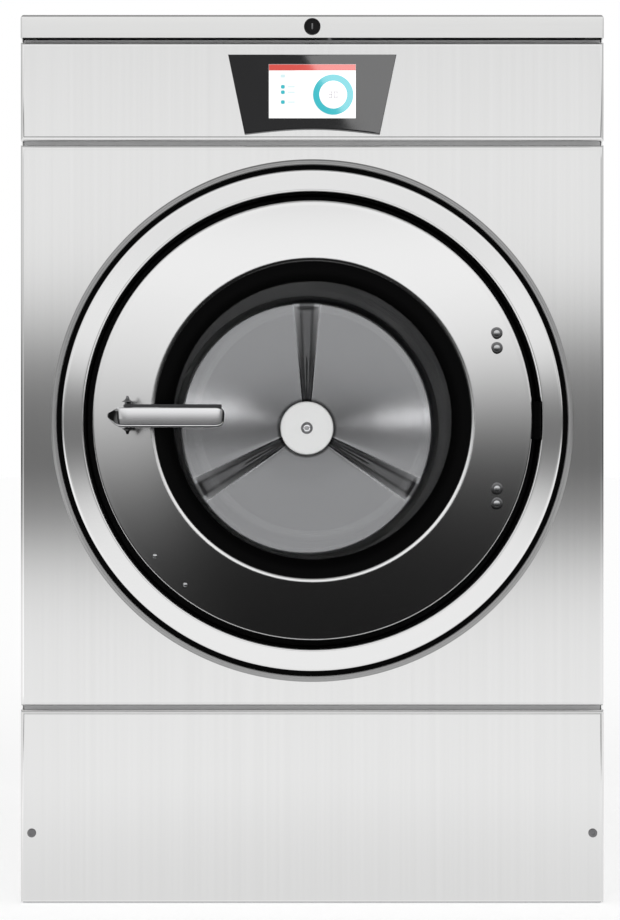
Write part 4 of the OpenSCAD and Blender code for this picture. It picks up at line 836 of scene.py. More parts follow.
# %% Hub, bolt heads, rivets and screws
hub_low, hub_high = box_mm("hub_cap")
HUB_R, HUB_SEAT = hub_high[0], hub_high[1]
hub_face = HUB_SEAT - 9
hub_profile = chain(
    (0, HUB_SEAT),
    (HUB_R + 2.2, HUB_SEAT),
    arc(HUB_R + 0.4, hub_face + 1.8, 1.8, 0, -88, 8),
    (HUB_R - 4, hub_face - 0.05),
    (0, hub_face - 0.4),
)
make_piece("hub_button", turned(hub_profile, 128), "drum", CAP_WHITE, "hub_cap")


def head_profile(r, front, seat, recess=0.45, depth=1.6, shank=None):
    """Domed head with a round recess, on its seat or on a shank (r, end): (r, s) from the rear."""
    root = [(0, seat), (r, seat)] if shank is None else [
        (0, shank[1]), (shank[0], shank[1]), (shank[0], seat), (r, seat)]
    return chain(
        root, (r, front + 1.4), arc(r - 1.6, front + 1.6, 1.6, 0, -80, 5),
        (r * recess + 0.4, front), (r * recess, front + 0.3), (r * recess, front + depth),
        (0, front + depth),
    )


make_piece("hub_bolt", button(*AXIS, head_profile(7.4, hub_low[1], hub_face, 0.4, 2.0)), "drum",
           CHROME)
# The dark steel washer round the hub bolt is painted shade for the recess round its head.
washer = chain((0, hub_face), (10.2, hub_face), (9.6, hub_face - 1.2), (0, hub_face - 1.2))
make_piece("hub_washer_painted_shade", button(*AXIS, washer), "drum", DARK_STEEL)
BOLT_X, BOLT_MIDDLE, BOLT_UP = 247.5, AXIS[1] + 2.4, (94.5, 114.5)
bolts, sinks = [], []
for z in [BOLT_MIDDLE + way * up for up in BOLT_UP for way in (-1, 1)]:
    front = crown_s(math.hypot(BOLT_X, z - AXIS[1])) - 0.4
    head = [(0, HINGE_FACE - 0.5), (4.4, HINGE_FACE - 0.5), (4.4, front - 2.2), (3.9, front - 2.9),
            (2.4, front - 3.3), (0, front - 3.4)]
    bolts.append(button(BOLT_X, z, head))
    sink = [(4.2, front + 3), (4.2, front - 1.9), (6.6, front - 2.0), (7.8, front - 1.6),
            (8.0, front - 1.2), (8.0, front + 3)]
    sinks.append(turned(sink, 48, (BOLT_X, z)))
make_piece("hinge_bolt_heads", joined(*bolts), "door", BRIGHT_STEEL, "hinge_bolts")
# Dark steel sink rings round the bolt heads: painted shade for the recesses round them.
make_piece("hinge_bolt_sinks_painted_shade", joined(*sinks), "door", DARK_STEEL)
RIVETS_AT_R, RIVET_R, RIVET_ANGLES, RIVET_PROUD = 280.0, 3.5, (220.8, 232.3), 2
dots = []
for angle in np.radians(RIVET_ANGLES):
    x, z = RIVETS_AT_R * math.cos(angle), AXIS[1] + RIVETS_AT_R * math.sin(angle)
    dome = arc(0, crown_s(RIVETS_AT_R) - RIVET_PROUD + RIVET_R, RIVET_R, 0, -90, 8)
    dots.append(button(x, z, chain((0, FRAME_FRONT), (RIVET_R, FRAME_FRONT), dome)))
make_piece("rivet_heads", joined(*dots), "door", BRIGHT_STEEL, "door_rivets")
screw_low, screw_high = box_mm("lower_panel_screws")
screw_z = (screw_low[2] + screw_high[2]) / 2
SCREW_R, SHANK_R = 6, 3
head = head_profile(SCREW_R, screw_low[1], 0, 0.42, 1.4, shank=(SHANK_R, screw_high[1]))
screws = [button(way * (screw_high[0] - SCREW_R), screw_z, head) for way in (-1, 1)]
make_piece("sheet_screws", joined(*screws), "cabinet", DARK_STEEL, "lower_panel_screws")
print("round parts", len(PIECES))

# %% [markdown]
# ## Lever
#
# The lever is carried through stations along its length. Each station has the same section, a
# cast bar whose front is a shallow arc and ends in a lip at the bottom; the station gives its
# half height, how far its front stands back and how it leans. The left end is cut to a blunt
# point and the right end is rounded. Two pointed bosses above and below it hold the pivot, and a
# dark strip behind its top edge closes the bar from above.

# %% The door lever and its bracket
lever_low, lever_high = box_mm("door_handle")
LEVER_Z = (lever_low[2] + lever_high[2]) / 2
LEVER_HALF = (lever_high[2] - lever_low[2]) / 2
LEVER_FRONT, LEVER_BACK = lever_low[1], lever_high[1]


def lever_section(half, set_back, lean):
    """Closed outline (depth, height): back, top edge, face, groove, lip, bottom. The face is an
    arc of radius 400 and leans by lean from its top to its bottom."""
    share = half / LEVER_HALF
    front = LEVER_FRONT + set_back
    z = np.linspace(half - 7.8 * share, -half + 4.2 * share, 12)
    apex = -10.0 * share
    face = front + 400.0 - np.sqrt(400.0 ** 2 - (z - apex) ** 2) + lean * (0.5 - z / half / 2)
    around = np.radians(np.linspace(55, -80, 9))
    lip_r = 1.9 * share
    lip_s, lip_z = front + lip_r + 0.1 + lean, -half + lip_r
    return chain(
        (LEVER_BACK - 1.5, -half),
        (LEVER_BACK, -half + 1.5 * share),
        (LEVER_BACK, half - 7.5 * share),
        (LEVER_BACK - 1.5, half - 6.0 * share),
        (front + 4.6, half - 6.0 * share),
        (front + 2.4, half - 6.3 * share),
        (front + 1.2, half - 6.9 * share),
        np.stack([face, z], 1),
        (front + 2.4 + lean, -half + 3.9 * share),
        np.stack([lip_s - lip_r * np.cos(around), lip_z + lip_r * np.sin(around)], 1),
        (front + 6.0 + lean, -half),
    )


def lever():
    """Stations (x, half height, set-back, lean) from the blunt point to the rounded end."""
    left, right = lever_low[0], lever_high[0]
    end_r = 12.0
    rows = [(left, 0.16, 4.2, 0.6), (left + 0.8, 0.26, 3.6, 1.2), (left + 5, 0.52, 2.6, 3.4),
            (left + 9, 0.74, 1.7, 4.6), (left + 13, 0.92, 0.8, 4.8), (left + 15, 0.98, 0.3, 1.2),
            (left + 17, 1.0, 0.0, 0.0)]
    for f in np.linspace(0.08, 1, 12):
        rows.append((left + 17 + f * (right - end_r - left - 17), 1.0, 0.0, 0.0))
    for a in np.radians(np.linspace(8, 80, 10)):
        rows.append((right - end_r + end_r * math.sin(a), 0.35 + 0.65 * math.cos(a),
                     6.0 * (1 - math.cos(a)) ** 1.4, 3.0 * math.sin(a) ** 4))
    made = []
    for x, share, set_back, lean in rows:
        flat = lever_section(share * LEVER_HALF, set_back, lean)
        made.append(np.stack([np.full(len(flat), x), flat[:, 0], flat[:, 1] + LEVER_Z], 1))
    return lofted(made)


make_piece("lever", lever(), "handle", CHROME, "door_handle", crease=28)
backing = rounded_block((lever_low[0] + 22, LEVER_FRONT + 7, LEVER_Z + 6),
                        (lever_high[0] - 4, LEVER_BACK - 1.5, LEVER_Z + LEVER_HALF - 2.2), 0.8)
make_piece("lever_backing", backing, "handle", BLACK_PLASTIC)

bracket_low, bracket_high = box_mm("handle_bracket")
PIVOT_X, PIVOT_S = (bracket_low[0] + bracket_high[0]) / 2, -60.0
bracket_half = (bracket_high[2] - bracket_low[2]) / 2
parts = []
for way in (-1, 1):
    rise = np.array([(7.2, 17.6), (6.8, 18.4), (4.8, 19.6), (3.0, 21.2), (2.2, 23.0), (1.7, 24.6),
                     (1.2, bracket_half), (0, bracket_half), (0, 17.6)])
    rise[:, 1] = LEVER_Z + way * rise[:, 1]
    parts.append(turned(rise, 48, (PIVOT_X, PIVOT_S), axis=2))
    for half, s0, s1, rise_low, rise_high, r in (
            (4, PIVOT_S + 2, -43.5, 17.8, 20.2, 0.8),
            (5, -47.0, -42.0, 8.2, 19.6, 1.2),
            (7, -44.0, bracket_high[1], 8.2, 15.0, 1.6)):
        z0, z1 = sorted((LEVER_Z + way * rise_low, LEVER_Z + way * rise_high))
        parts.append(rounded_block((PIVOT_X - half, s0, z0), (PIVOT_X + half, s1, z1), r, 0))
make_piece("pivot_bracket", joined(*parts), "door", DARK_STEEL, "handle_bracket")
print("lever", [p.name for p in PIECES[-3:]])

# %% [markdown]
# ## Display
#
# The display is a black glass trapezoid with an arched lower edge and a lit rectangular screen
# set into it. What the screen shows is flat shapes laid just in front of it: a banner, a dial
# ring with a number made of bars, and three small icons, each with a line beside it.

# %% Glass plate with a pocket for the screen
housing_low, housing_high = box_mm("display_housing")
screen_low, screen_high = box_mm("display_screen")
top_half = housing_high[0]
low_half = 92.0
DISPLAY_FRONT = housing_low[1]
ARCH = 7.0
u = np.linspace(1, -1, 17)
low_edge = np.stack([low_half * u, housing_low[2] + ARCH * np.cos(u * np.pi / 2)], 1)
trapezoid = chain((-top_half, housing_high[2]), (top_half, housing_high[2]), low_edge)[::-1]


def plate_with_pocket(outline, pocket, front, back, floor, edge=0.9):
    """Plate with a rounded front edge; its front face is filled round the pocket's outline."""
    a = np.radians(np.linspace(0, 90, 5))
    rows = [at_level(drawn_in(outline, i), s)
            for i, s in zip(edge * (1 - np.sin(a)), front + edge * (1 - np.cos(a)))]
    rows = [at_level(drawn_in(outline, edge + 1), front), *rows, at_level(outline, back)]
    m, n = len(rows), len(outline)
    points = np.concatenate([*rows, at_level(pocket, front), at_level(pocket, floor)])
    hole = m * n
    k = len(pocket)
    faces = grid_faces(m, n) + grid_faces(2, k, start=hole)
    faces += holed_face(points, n, 0, k, hole)
    faces += [list(range(hole - n, hole)), list(range(hole + k, hole + 2 * k))]
    return points, faces


pocket = rectangle(screen_low[0], screen_high[0], screen_low[2], screen_high[2], 0, 0.6, 3)
make_piece("display_glass", plate_with_pocket(trapezoid, pocket, DISPLAY_FRONT, 0, -3.0),
           "cabinet", DISPLAY_GLASS, "display_housing")


def lit(name, color):
    """Lit surface: black to light from outside, with an even glow that a fine cell pattern dims."""
    f = Finish(name, (0.01, 0.01, 0.01), 0.05)
    f.set("Emission Strength", 1.0)
    cells = f.noise(f.place(), 900.0, 1.0)
    f.set("Emission Color", f.vectors("SCALE", color, scale=0.985 + 0.03 * cells))
    return f.material


SCREEN_WHITE = lit("screen_white", (1.0, 1.0, 1.0))
SCREEN_RED = lit("screen_red", (0.66, 0.05, 0.035))
SCREEN_CYAN = lit("screen_cyan", (0.01, 0.48, 0.55))
SCREEN_GREY = lit("screen_grey", (0.62, 0.60, 0.63))
SCREEN_PALE = lit("screen_pale", (0.66, 0.86, 0.88))
SCREEN_FACE = DISPLAY_FRONT + 0.12
make_piece("screen_panel",
           rounded_block((screen_low[0] + 0.2, SCREEN_FACE, screen_low[2] + 0.2),
                         (screen_high[0] - 0.2, -3.0, screen_high[2] - 0.2), 0.1),
           "cabinet", SCREEN_WHITE, "display_screen")


def bar(x0, x1, z0, z1, corner=0.0):
    """Flat shape laid on the screen."""
    flat = rectangle(x0, x1, z0, z1, 0, corner + 0.01, 3)
    return lofted([at_level(flat, DISPLAY_FRONT + 0.02), at_level(flat, SCREEN_FACE + 0.03)])


def ring(x, z, r_in, r_out):
    face = chain((r_in, SCREEN_FACE + 0.03), (r_out, SCREEN_FACE + 0.03),
                 (r_out, DISPLAY_FRONT + 0.02), (r_in, DISPLAY_FRONT + 0.02))
    return turned(face, 96, (x, z))


def digit(x, z, lit_bars, w=5.2, h=9.0, t=1.7):
    """One digit of seven bars; lit_bars names them a to g, clockwise from the top."""
    places = {
        "a": (x, x + w, z + h - t, z + h), "b": (x + w - t, x + w, z + h / 2, z + h),
        "c": (x + w - t, x + w, z, z + h / 2), "d": (x, x + w, z, z + t),
        "e": (x, x + t, z, z + h / 2), "f": (x, x + t, z + h / 2, z + h),
        "g": (x, x + w, z + h / 2 - t / 2, z + h / 2 + t / 2),
    }
    return [bar(*places[name]) for name in lit_bars]


DIAL, DIAL_IN, DIAL_OUT = (28.4, 1102.4), 18.9, 27.4
ICON_X, ICON_Z, ICON_HALF = -40.0, (1113.0, 1105.6, 1092.2), 2.6
make_piece("screen_banner", bar(screen_low[0] + 0.4, screen_high[0] - 0.4, screen_high[2] - 8.6,
                                screen_high[2] - 0.4), "cabinet", SCREEN_RED)
make_piece("screen_dial", ring(*DIAL, DIAL_IN, DIAL_OUT), "cabinet", SCREEN_CYAN)
make_piece("screen_number", joined(*digit(DIAL[0] - 6.2, DIAL[1] - 4.5, "abcdg"),
                                   *digit(DIAL[0] + 1.0, DIAL[1] - 4.5, "abcdef")),
           "cabinet", SCREEN_GREY)
icons, lines = [], []
for z in ICON_Z:
    icons.append(bar(ICON_X - ICON_HALF, ICON_X + ICON_HALF, z - 2.5, z + 2.5, 1.6))
    lines.append(bar(-33.0, -24.0, z - 0.7, z + 0.7))
lines.append(bar(-43.0, -37.0, 1125.6, 1129.6, 1.0))
make_piece("screen_icons", joined(*icons), "cabinet", SCREEN_CYAN)
make_piece("screen_lines", joined(*lines), "cabinet", SCREEN_PALE)
print("display", len(PIECES))

# %% [markdown]
# ## Drum
#
# The drum's back is pressed sheet. Its rings are circles round the axis; on each ring the columns
# of a rib keep their place across the rib, so at radius r the column at share u of the half width
# w lies at the angle asin(u w / r) from the rib's middle. The other columns fill the rest evenly.

# %% Drum back with three pressed ribs
wall_low, wall_high = box_mm("drum_shell")
DRUM_R = wall_high[0] - 1.5
DRUM_END = box_mm("drum_back")[1][1] - 3.0
DISC_S = DRUM_END - 15.0
DISC_R, RIB_H = DRUM_DISC, 3.0
RIB_U = np.linspace(-1.1, 1.1, 17)
RIB_RISE = (0.5 + 0.5 * np.cos(RIB_U * np.pi / 1.1)) * (1 - 0.3 * np.exp(-(RIB_U / 0.1) ** 2))


def ring_points(r, s, around):
    """Points at radius r and depth s round the axis, at the given angles."""
    return at_level(np.stack([AXIS[0] + r * np.cos(around), AXIS[1] + r * np.sin(around)], 1), s)


def drum_back_plate(between=26):
    """Rings of the pressed back, its rim and its rear face."""
    radii = np.concatenate([np.linspace(30, 49, 6), np.linspace(53, 199, 26),
                            [202, 204.5, 206, 208, 211]])
    rings = []
    for r in radii:
        grow = np.clip((r - RIB_IN) / (RIB_OUT - RIB_IN), 0, 1)
        half = RIB_NARROW + (RIB_WIDE - RIB_NARROW) * grow
        fade = np.clip((RIB_OUT - r) / 6, 0, 1)
        angle = np.arcsin(np.clip(RIB_U * half / r, -0.9, 0.9))
        free = np.linspace(angle[-1], 2 * np.pi / 3 + angle[0], between + 2)[1:-1]
        around = np.concatenate([np.concatenate([angle, free]) + np.radians(start)
                                 for start in (90, 210, 330)])
        rise = np.tile(np.concatenate([RIB_RISE, np.zeros(between)]), 3) * fade
        rings.append(ring_points(r, DISC_S - RIB_H * rise, around))
    around = np.arctan2(rings[-1][:, 2] - AXIS[1], rings[-1][:, 0] - AXIS[0])
    rim = [(DISC_R + 3, DISC_S + 1.2), (DISC_R + 13, DRUM_END - 1.2), (DISC_R + 17, DRUM_END),
           (DRUM_R - 8, DRUM_END), (DRUM_R - 1, DRUM_END - 0.2), (DRUM_R, DRUM_END + 3),
           (DISC_R + 15, DRUM_END + 3), (DISC_R - 1.5, DISC_S + 3), (30, DISC_S + 3)]
    return lofted(rings + [ring_points(r, s, around) for r, s in rim])


make_piece("drum_back_sheet", drum_back_plate(), "drum", DRUM_STEEL, "drum_back")

MOUTH_R = 200.0
wall_front = wall_low[1] + 6
drum_wall = chain(
    (MOUTH_R, wall_front + 1.5),
    (MOUTH_R, wall_low[1] + 2.2),
    arc(MOUTH_R + 1.5, wall_low[1] + 1.5, 1.5, 180, 360, 8),
    (MOUTH_R + 3, wall_front),
    arc(DRUM_R - 4.5, wall_front + 6, 6, -90, 0, 6),
    (DRUM_R + 1.5, wall_high[1]),
    (DRUM_R, wall_high[1]),
    arc(DRUM_R - 4.5, wall_front + 6, 4.5, 0, -90, 6),
)
make_piece("drum_wall", turned(drum_wall), "drum", WALL_STEEL, "drum_shell")
print("drum", len(PIECES))

# %% [markdown]
# ## Springs and bellows
#
# These parts cross the joint between the cabinet and the floating tub; they ride on neither body.
# A spring is a circle carried along a helix (r cos t, r sin t, p t), its plane kept square to the
# run of the wire.

# %% Wound springs
def tube(path, r, sides=14):
    """Round wire along a path: rings in the plane of two directions square to the run."""
    run = np.gradient(path, axis=0)
    run /= np.linalg.norm(run, axis=1, keepdims=True)
    side = np.cross(run, [0.31, 0.17, 0.93])
    side /= np.linalg.norm(side, axis=1, keepdims=True)
    up = np.cross(run, side)
    a = (np.arange(sides) * 2 * np.pi / sides)[None, :, None]
    return lofted(path[:, None] + r * (np.cos(a) * side[:, None] + np.sin(a) * up[:, None]))


spring_low, spring_high = box_mm("suspension_springs")
COIL_R, WIRE_R, TURNS, SPRING_S = 32.0, 5.0, 6, (170.0, 500.0)
spring_x = spring_high[0] - COIL_R - WIRE_R
spring_z = (spring_low[2], spring_high[2])
coils = []
for way in (-1, 1):
    for s in SPRING_S:
        t = np.linspace(0, TURNS * 2 * np.pi, TURNS * 24 + 1)
        rise = spring_z[0] + 10 + (spring_z[1] - spring_z[0] - 20) * t / t[-1]
        helix = np.stack([way * (spring_x + COIL_R * np.cos(t)), s + COIL_R * np.sin(t), rise], 1)
        foot, head = helix[0] * [1, 1, 0], helix[-1] * [1, 1, 0]
        path = chain(foot + [0, 0, spring_z[0]], foot + [0, 0, spring_z[0] + 4],
                     foot + [0, 0, spring_z[0] + 8], helix[1:-1], head + [0, 0, spring_z[1] - 8],
                     head + [0, 0, spring_z[1] - 4], head + [0, 0, spring_z[1]])
        coils.append(tube(path, WIRE_R))
springs = make_piece("spring_coils", joined(*coils), None, SPRING_PAINT, "suspension_springs",
                     crease=60)
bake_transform(springs)


# %% Rubber bellows
def bellows(node, r, ribs, crest=7.0, wall=3.0, cuff=6.0):
    """Convoluted sleeve: outside radius r + crest (1 - cos) / 2 along its height."""
    low, high = box_mm(node)
    centre = ((low[0] + high[0]) / 2, (low[1] + high[1]) / 2)
    f = np.linspace(0, 1, 16 * ribs + 1)
    wave = crest * (1 - np.cos(2 * np.pi * ribs * f)) / 2
    z = low[2] + cuff + f * (high[2] - low[2] - 2 * cuff)
    outside = np.stack([r + wave, z], 1)
    inside = np.stack([r - wall + wave * 0.9, z], 1)[::-1]
    profile = chain((r, low[2]), outside, (r, high[2]), (r - wall, high[2]), inside,
                    (r - wall, low[2]))
    return turned(profile, 96, centre, axis=2), low[2] * MM, high[2] * MM


for node, r, ribs, foot, head in (("drain_bellows", 35.0, 4, "cabinet", "tub"),
                                  ("fill_bellows", 22.0, 3, "tub", "cabinet")):
    shape, bottom, top = bellows(node, r, ribs)
    skin = make_piece(node + "_skin", shape, None, HOSE, node, 60)
    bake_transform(skin)
print("springs and bellows", len(PIECES))

# %% [markdown]
# ## Top cover, soap lid and key lock
#
# The cover is a tray without a rear edge. Its rings are open paths from the left rear corner
# round the front to the right rear corner; the flat top and its underside are filled between the
# last ring and the outline of the soap mouth, and one face closes the sheet's edge at the rear.

# %% Cover, lid and lock
cover_low, cover_high = box_mm("top_cover")
mouth_low, mouth_high = (-335.0, 160.0), (-175.0, 370.0)
SKIRT_END = cover_high[1] - 13


def tray(x0, x1, s0, s1, z0, z1, corner=3.2):
    """Folded tray open at the rear, with the soap mouth through its top."""
    rows = []
    for inset, drop in fold_profile(z1 - z0):
        r = max(corner - inset, 0.0)
        rear = s1 if drop < 3 else SKIRT_END
        left = arc(x0 + inset + r, s0 + inset + r, r, 180, 270, 4)
        right = arc(x1 - inset - r, s0 + inset + r, r, 270, 360, 4)
        path = chain((x0 + inset, rear), left, right, (x1 - inset, rear))
        rows.append(at_level(path, z1 - drop, 2))
    m, n = len(rows), len(rows[0])
    mouth = rectangle(mouth_low[0], mouth_high[0], mouth_low[1], mouth_high[1], 0, 2.0, 4)
    k = len(mouth)
    edge = [at_level(mouth, z, 2) for z in (z1, z1 - SHEET_T)]
    points = np.concatenate([*rows, *edge])
    hole = m * n
    faces = grid_faces(m, n, wrap_columns=False) + grid_faces(2, k, start=hole)
    faces += holed_face(points, n, 0, k, hole) + holed_face(points, n, hole - n, k, hole + k)
    faces.append([i * n for i in range(m)] + [i * n + n - 1 for i in reversed(range(m))])
    return points, faces


def lug(x, s, z, r, width, hole_r, top):
    """Hinge lug: a round eye with a hole, and the plate that carries it up to the cover."""
    x0, x1 = x - width / 2, x + width / 2
    eye = turned([(r, x0), (r, x1), (hole_r, x1), (hole_r, x0)], 48, (s, z), axis=0)
    return joined(eye, rounded_block((x0, s - r, z + hole_r + 1.5), (x1, s + r, top), 0.3))


axis_s, axis_z = cover_high[1] - 13, cover_low[2] + 19
LUG_X, LUG_R, LUG_WIDTH, LUG_HOLE = 300.0, 8, 6, 4.4
lugs = [lug(way * LUG_X, axis_s, axis_z, LUG_R, LUG_WIDTH, LUG_HOLE, cover_high[2] - SHEET_T)
        for way in (-1, 1)]
plate_z = float(box_mm("soap_lid")[0][2]) - 0.3
knuckle_s, knuckle_z = 398.0, plate_z + 3.3


def knuckle(x0, x1, reach):
    """Hinge knuckle along x with a leaf that reaches forwards or rearwards."""
    profile = [(0, x0), (2.4, x0), (3, x0 + 0.6), (3, x1 - 0.6), (2.4, x1), (0, x1)]
    s0, s1 = sorted((knuckle_s, knuckle_s + reach))
    leaf = rounded_block((x0, s0, plate_z + 0.3), (x1, s1, plate_z + 2.3), 0.3, 0)
    return joined(turned(profile, 32, (knuckle_s, knuckle_z), axis=0), leaf)


fixed = [knuckle(-325, -313, 4), knuckle(-197, -185, 4)]
make_piece("cover_sheet",
           joined(tray(-SHEET_HALF, SHEET_HALF, 0.0, cover_high[1], cover_low[2], plate_z), *lugs,
                  *fixed),
           "cover", TOP_STEEL, "top_cover")

lid_low, lid_high = box_mm("soap_lid")
moving = [knuckle(-312.5, -297, -6), knuckle(-213, -197.5, -6)]
lid_plate = rounded_block(lid_low, (lid_high[0], knuckle_s - 5, lid_low[2] + SHEET_T), 0.6, 2, 4.0)
grip = rounded_block((-285, 154, lid_low[2] + 1.5), (-225, 162, lid_high[2]), 1.6, 2, 1.0)
make_piece("lid_plate", joined(lid_plate, grip, *moving), "lid", TOP_STEEL, "soap_lid")

lock_low, lock_high = box_mm("key_lock")
LOCK_R = lock_high[0]
LOCK_Z = lock_high[2] - LOCK_R
lock_face = lock_low[1]
bezel = chain(
    (0, 0), (LOCK_R, 0), (LOCK_R, lock_face + 1.2),
    arc(LOCK_R - 1.2, lock_face + 1.2, 1.2, 0, -90, 6),
    (LOCK_R - 2.8, lock_face), (LOCK_R - 3.4, lock_face + 0.7), (0, lock_face + 0.7),
)
slot = rounded_block((-1.0, lock_face + 0.35, LOCK_Z - 4), (1.0, lock_face + 1.0, LOCK_Z + 4), 0.2)
barrel = button(0, LOCK_Z, chain((0, -0.2), (LOCK_R - 1.8, -0.2), (LOCK_R - 1.8, 19), (0, 19)))
cam = rounded_block((-5, 18.9, LOCK_Z - 13), (5, lock_high[1], LOCK_Z + 5), 0.6)
make_piece("lock_bezel", joined(button(0, LOCK_Z, bezel, 64), barrel, cam), "lock", LOCK_BLACK,
           "key_lock")
make_piece("lock_slot", slot, "lock", DARK_STEEL)
print("pieces", len(PIECES), "lock height", round((lock_low[2] + lock_high[2]) / 2, 2))

# %% [markdown]
# ## Light
#
# Steel shows what stands round it. In the photograph the sheets are even and bright with one soft
# dark band, which is a bright room whose horizon is dark. So the world is white to the camera,
# and for all other rays its brightness follows the ray's elevation: bright above, dark in a band
# at the horizon and below it. The flat sheets and the collar also see a bright floor, which the
# domed door ring doesn't: that floor is a lit card that is linked to everything but the ring with
# its bolts, rivets and lever. The drum is deep inside, so it has lamps of its own: two broad ones
# for its back and its hub, and two narrow ones for the fans of light left and right of the hub.

# %% World: brightness by elevation
AHEAD = [(-90, 0.12), (-75, 0.09), (-62, 0.008), (-15, 0.006), (-1.0, 0.0),
         (0.0, 0.165), (1.0, 0.17), (1.7, 0.19), (2.4, 0.24), (3.1, 0.33), (3.8, 0.52),
         (4.6, 0.74), (5.4, 0.88), (6.4, 0.955), (9.5, 0.96), (11.5, 0.925), (13.5, 0.89),
         (20, 0.95), (30, 1.02), (42, 0.95), (55, 0.55), (75, 0.36), (90, 0.30)]
LEFT = [(-75, 0.10), (-60, 0.02), (-27, 0.03), (-17, 0.10), (-10, 0.21), (-5, 0.35),
        (0, 0.50), (6.5, 0.69), (12, 0.82), (18, 0.89), (30, 1.02), (42, 0.95), (60, 0.45)]
RIGHT = [(-75, 0.10), (-60, 0.006), (-27, 0.010), (-17, 0.018), (-10, 0.034), (-5, 0.07),
         (0, 0.17), (6.5, 0.46), (12, 0.76), (18, 0.93), (30, 1.02), (42, 0.95), (60, 0.45)]


def profile(tree, value, stops):
    """Straight lines through the stops (value, level), as a sum of clamped ramps."""
    total = stops[0][1]
    for (low_at, dim), (high_at, bright) in zip(stops, stops[1:]):
        ramp = {0: value, 1: low_at, 2: high_at, 3: 0.0, 4: bright - dim}
        total = tree.node("MapRange", None, ramp) + total
    return total


world = bpy.data.worlds.new("room")
world.use_nodes = True
bpy.context.scene.world = world
sky = Nodes(world.node_tree)
across, depth, rise = sky.parts(sky.vectors("NORMALIZE", sky.node("TexCoord")))
elevation = rise.math("ARCSINE") * (180 / math.pi)
azimuth = across.math("ARCTAN2", depth * -1.0) * (180 / math.pi)
to_left = sky.step(azimuth, -19.0, -32.0) * sky.step(azimuth, -75.0, -50.0)
to_right = sky.step(azimuth, 19.0, 32.0) * sky.step(azimuth, 75.0, 50.0)
sideways = sky.step(azimuth.math("ABSOLUTE"), 55.0, 95.0)
ahead = profile(sky, elevation, AHEAD)
light = ahead + to_left * (profile(sky, elevation, LEFT) - ahead)
light = light + to_right * (profile(sky, elevation, RIGHT) - ahead)
light = light * (1.0 - 0.35 * sideways)
seen = sky.node("LightPath")
room = sky.node("Background", None, {"Color": sky.vector(light, light, light)})
paper = sky.node("Background", None, {"Color": (1, 1, 1, 1)})
mixed = sky.node("MixShader", None, {0: seen, 1: room, 2: paper})
world_out = sky.tree.nodes.new("ShaderNodeOutputWorld")
sky.tree.links.new(mixed.socket, world_out.inputs[0])
print("world nodes", len(sky.tree.nodes))


# %% Floor, lit card and lamps
def flat_card(name, half, z, material):
    """Square plate on the stage, centred under the machine."""
    mesh = bpy.data.meshes.new(name)
    corners = [(-half, -half, z), (half, -half, z), (half, half, z), (-half, half, z)]
    mesh.from_pydata(corners, [], [(0, 1, 2, 3)])
    mesh.materials.append(material)
    plate = bpy.data.objects.new(name, mesh)
    bpy.context.scene.collection.objects.link(plate)
    return plate


def glowing(name, near, far, reach):
    """Clear card that adds light: far + near / (1 + (distance / reach)^3.2), a little less
    right under the machine."""
    f = Finish(name, (0.0, 0.0, 0.0), 1.0)
    x, y, _ = f.parts(f.place())
    away = ((x * x + y * y) ** 0.5 - 0.4).math("MAXIMUM", 0.0)
    level = near / (1.0 + (away / reach) ** 3.2) + far - 0.12 * f.step(away, 1.1, 0.0)
    clear = f.node("BsdfTransparent", None, {"Color": (1, 1, 1, 1)})
    glow = f.node("Emission", None, {"Color": f.vector(level, level, level)})
    both = f.node("AddShader", None, {0: clear, 1: glow})
    f.tree.nodes.remove(f.shader)
    f.tree.links.new(both.socket, f.output.inputs[0])
    return f.material


def linked_to(name, things):
    """Collection of the things that a light reaches."""
    group = bpy.data.collections.new(name)
    for thing in things:
        group.objects.link(thing)
    return group


def lamp(name, size, radiance, place, aim, reaches, blockers=None):
    """Flat lamp of a given radiance that only lights what it is linked to."""
    data = bpy.data.lights.new(name, "AREA")
    data.shape = "RECTANGLE"
    data.size, data.size_y = size
    data.energy = radiance * math.pi * size[0] * size[1]
    made = bpy.data.objects.new(name, data)
    bpy.context.scene.collection.objects.link(made)
    made.location = place
    made.rotation_euler = aim
    made.visible_camera = False
    made.light_linking.receiver_collection = linked_to(name + "_lights", reaches)
    if blockers:
        made.light_linking.blocker_collection = linked_to(name + "_shadows", blockers)
    return made


floor_paint = grained("floor_paper", (0.95, 0.95, 0.95), 0.9, 3.0, 0.0001, 0.02,
                      emission_strength=0.42)
floor_paint.node_tree.nodes["Principled BSDF"].inputs["Emission Color"].default_value = (1, 1, 1, 1)
floor = flat_card("floor", 60.0, 0.0, floor_paint)
floor.visible_glossy = False
card = flat_card("floor_card", 60.0, 0.002, glowing("card_glow", 0.78, 0.20, 10.0))
for seen_by in ("camera", "diffuse", "shadow", "transmission"):
    setattr(card, "visible_" + seen_by, False)
DARK_SIDE = {"door_crown", "lever", "lever_backing", "pivot_bracket", "rivet_heads",
             "hinge_bolt_heads", "hinge_bolt_sinks_painted_shade"}
things = [t for t in bpy.context.scene.objects if t.type == "MESH"]
bright_side = [t for t in things if t.name not in DARK_SIDE and t not in (floor, card)]
card.light_linking.receiver_collection = linked_to("sees_floor", bright_side)

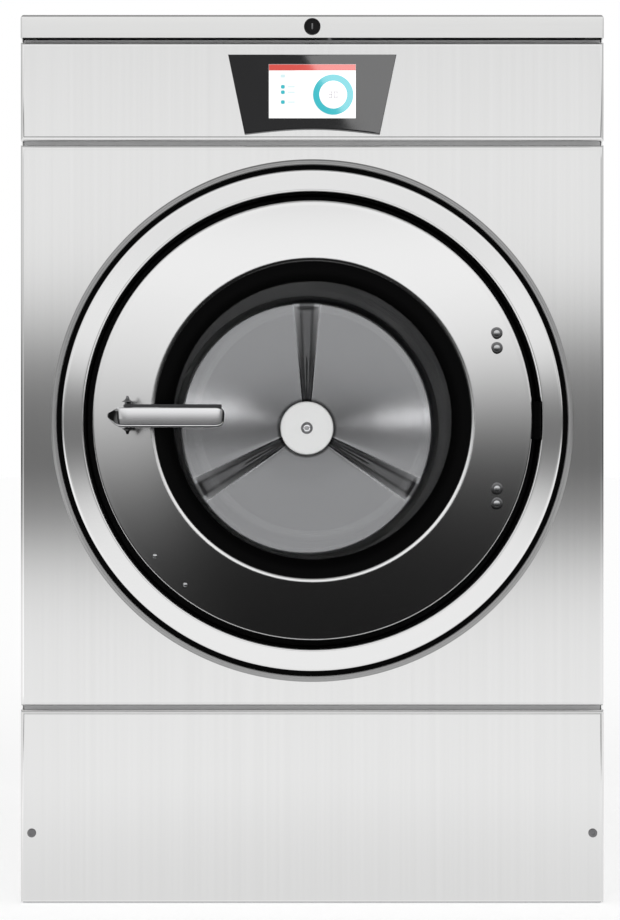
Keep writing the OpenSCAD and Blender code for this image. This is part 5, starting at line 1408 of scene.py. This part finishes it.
# The display's glass mirrors a lamp whose left edge runs through these two places (x, height), so
# the glare ends in a slanting line.
edge_low, edge_high = np.array([0.105, 1.331]), np.array([0.007, 1.486])
along = (edge_high - edge_low) / np.linalg.norm(edge_high - edge_low)
aside = np.array([along[1], -along[0]])
middle = (edge_low + edge_high) / 2 + aside * 0.6
glare = lamp("display_glare", (1.2, 1.6), 6.3, (middle[0], front_y - 1.5, middle[1]),
             (math.pi / 2, -math.atan2(aside[1], aside[0]), 0),
             [t for t in things if t.name == "display_glass" or t.name.startswith("screen_")])
drum_parts = [bpy.data.objects[n]
              for n in ("drum_back_sheet", "hub_bolt", "hub_washer_painted_shade", "drum_wall")]
drum_parts.append(frame["nodes"]["drum_lifters"])
back_only = drum_parts[:1]
LAMPS_Y, LEVEL = front_y - 2.6, math.pi / 2
before_door = (-0.04, LAMPS_Y, AXIS[1] * MM)
fill = lamp("drum_fill", (4.2, 4.2), 0.22, before_door, (LEVEL, 0, 0), drum_parts, back_only)
hub = bpy.data.objects["hub_button"]
hub_fill = lamp("hub_fill", (1.6, 1.6), 9.0, before_door, (LEVEL, 0, 0), [hub], [hub])
for way, up in ((-1, -0.02), (1, -0.08)):
    place = (way * 0.7, LAMPS_Y, AXIS[1] * MM + up)
    lamp("drum_fan", (0.5, 0.12), 3.4, place, (LEVEL, 0, way * 0.25), drum_parts,
                     back_only)
print("lamps", [thing.name for thing in bpy.data.lights])

# %% Camera
# The camera looks straight ahead from a little left of the machine's middle, and the sideways
# shift brings the machine back to the middle of the picture.
EYE, LENS, SHIFT = (-0.0385, front_y - 2.5, 0.6058), 71.84, 0.0283
camera_data = bpy.data.cameras.new("camera")
camera_data.lens = LENS
camera_data.sensor_width = 36.0
camera_data.shift_x = SHIFT
camera_data.clip_end = 200.0
camera = bpy.data.objects.new("camera", camera_data)
bpy.context.scene.collection.objects.link(camera)
camera.location = EYE
camera.rotation_euler = (math.pi / 2, 0, 0)
bpy.context.scene.camera = camera
bpy.context.scene.view_settings.view_transform = "Standard"
print("camera", tuple(round(v, 3) for v in camera.location))
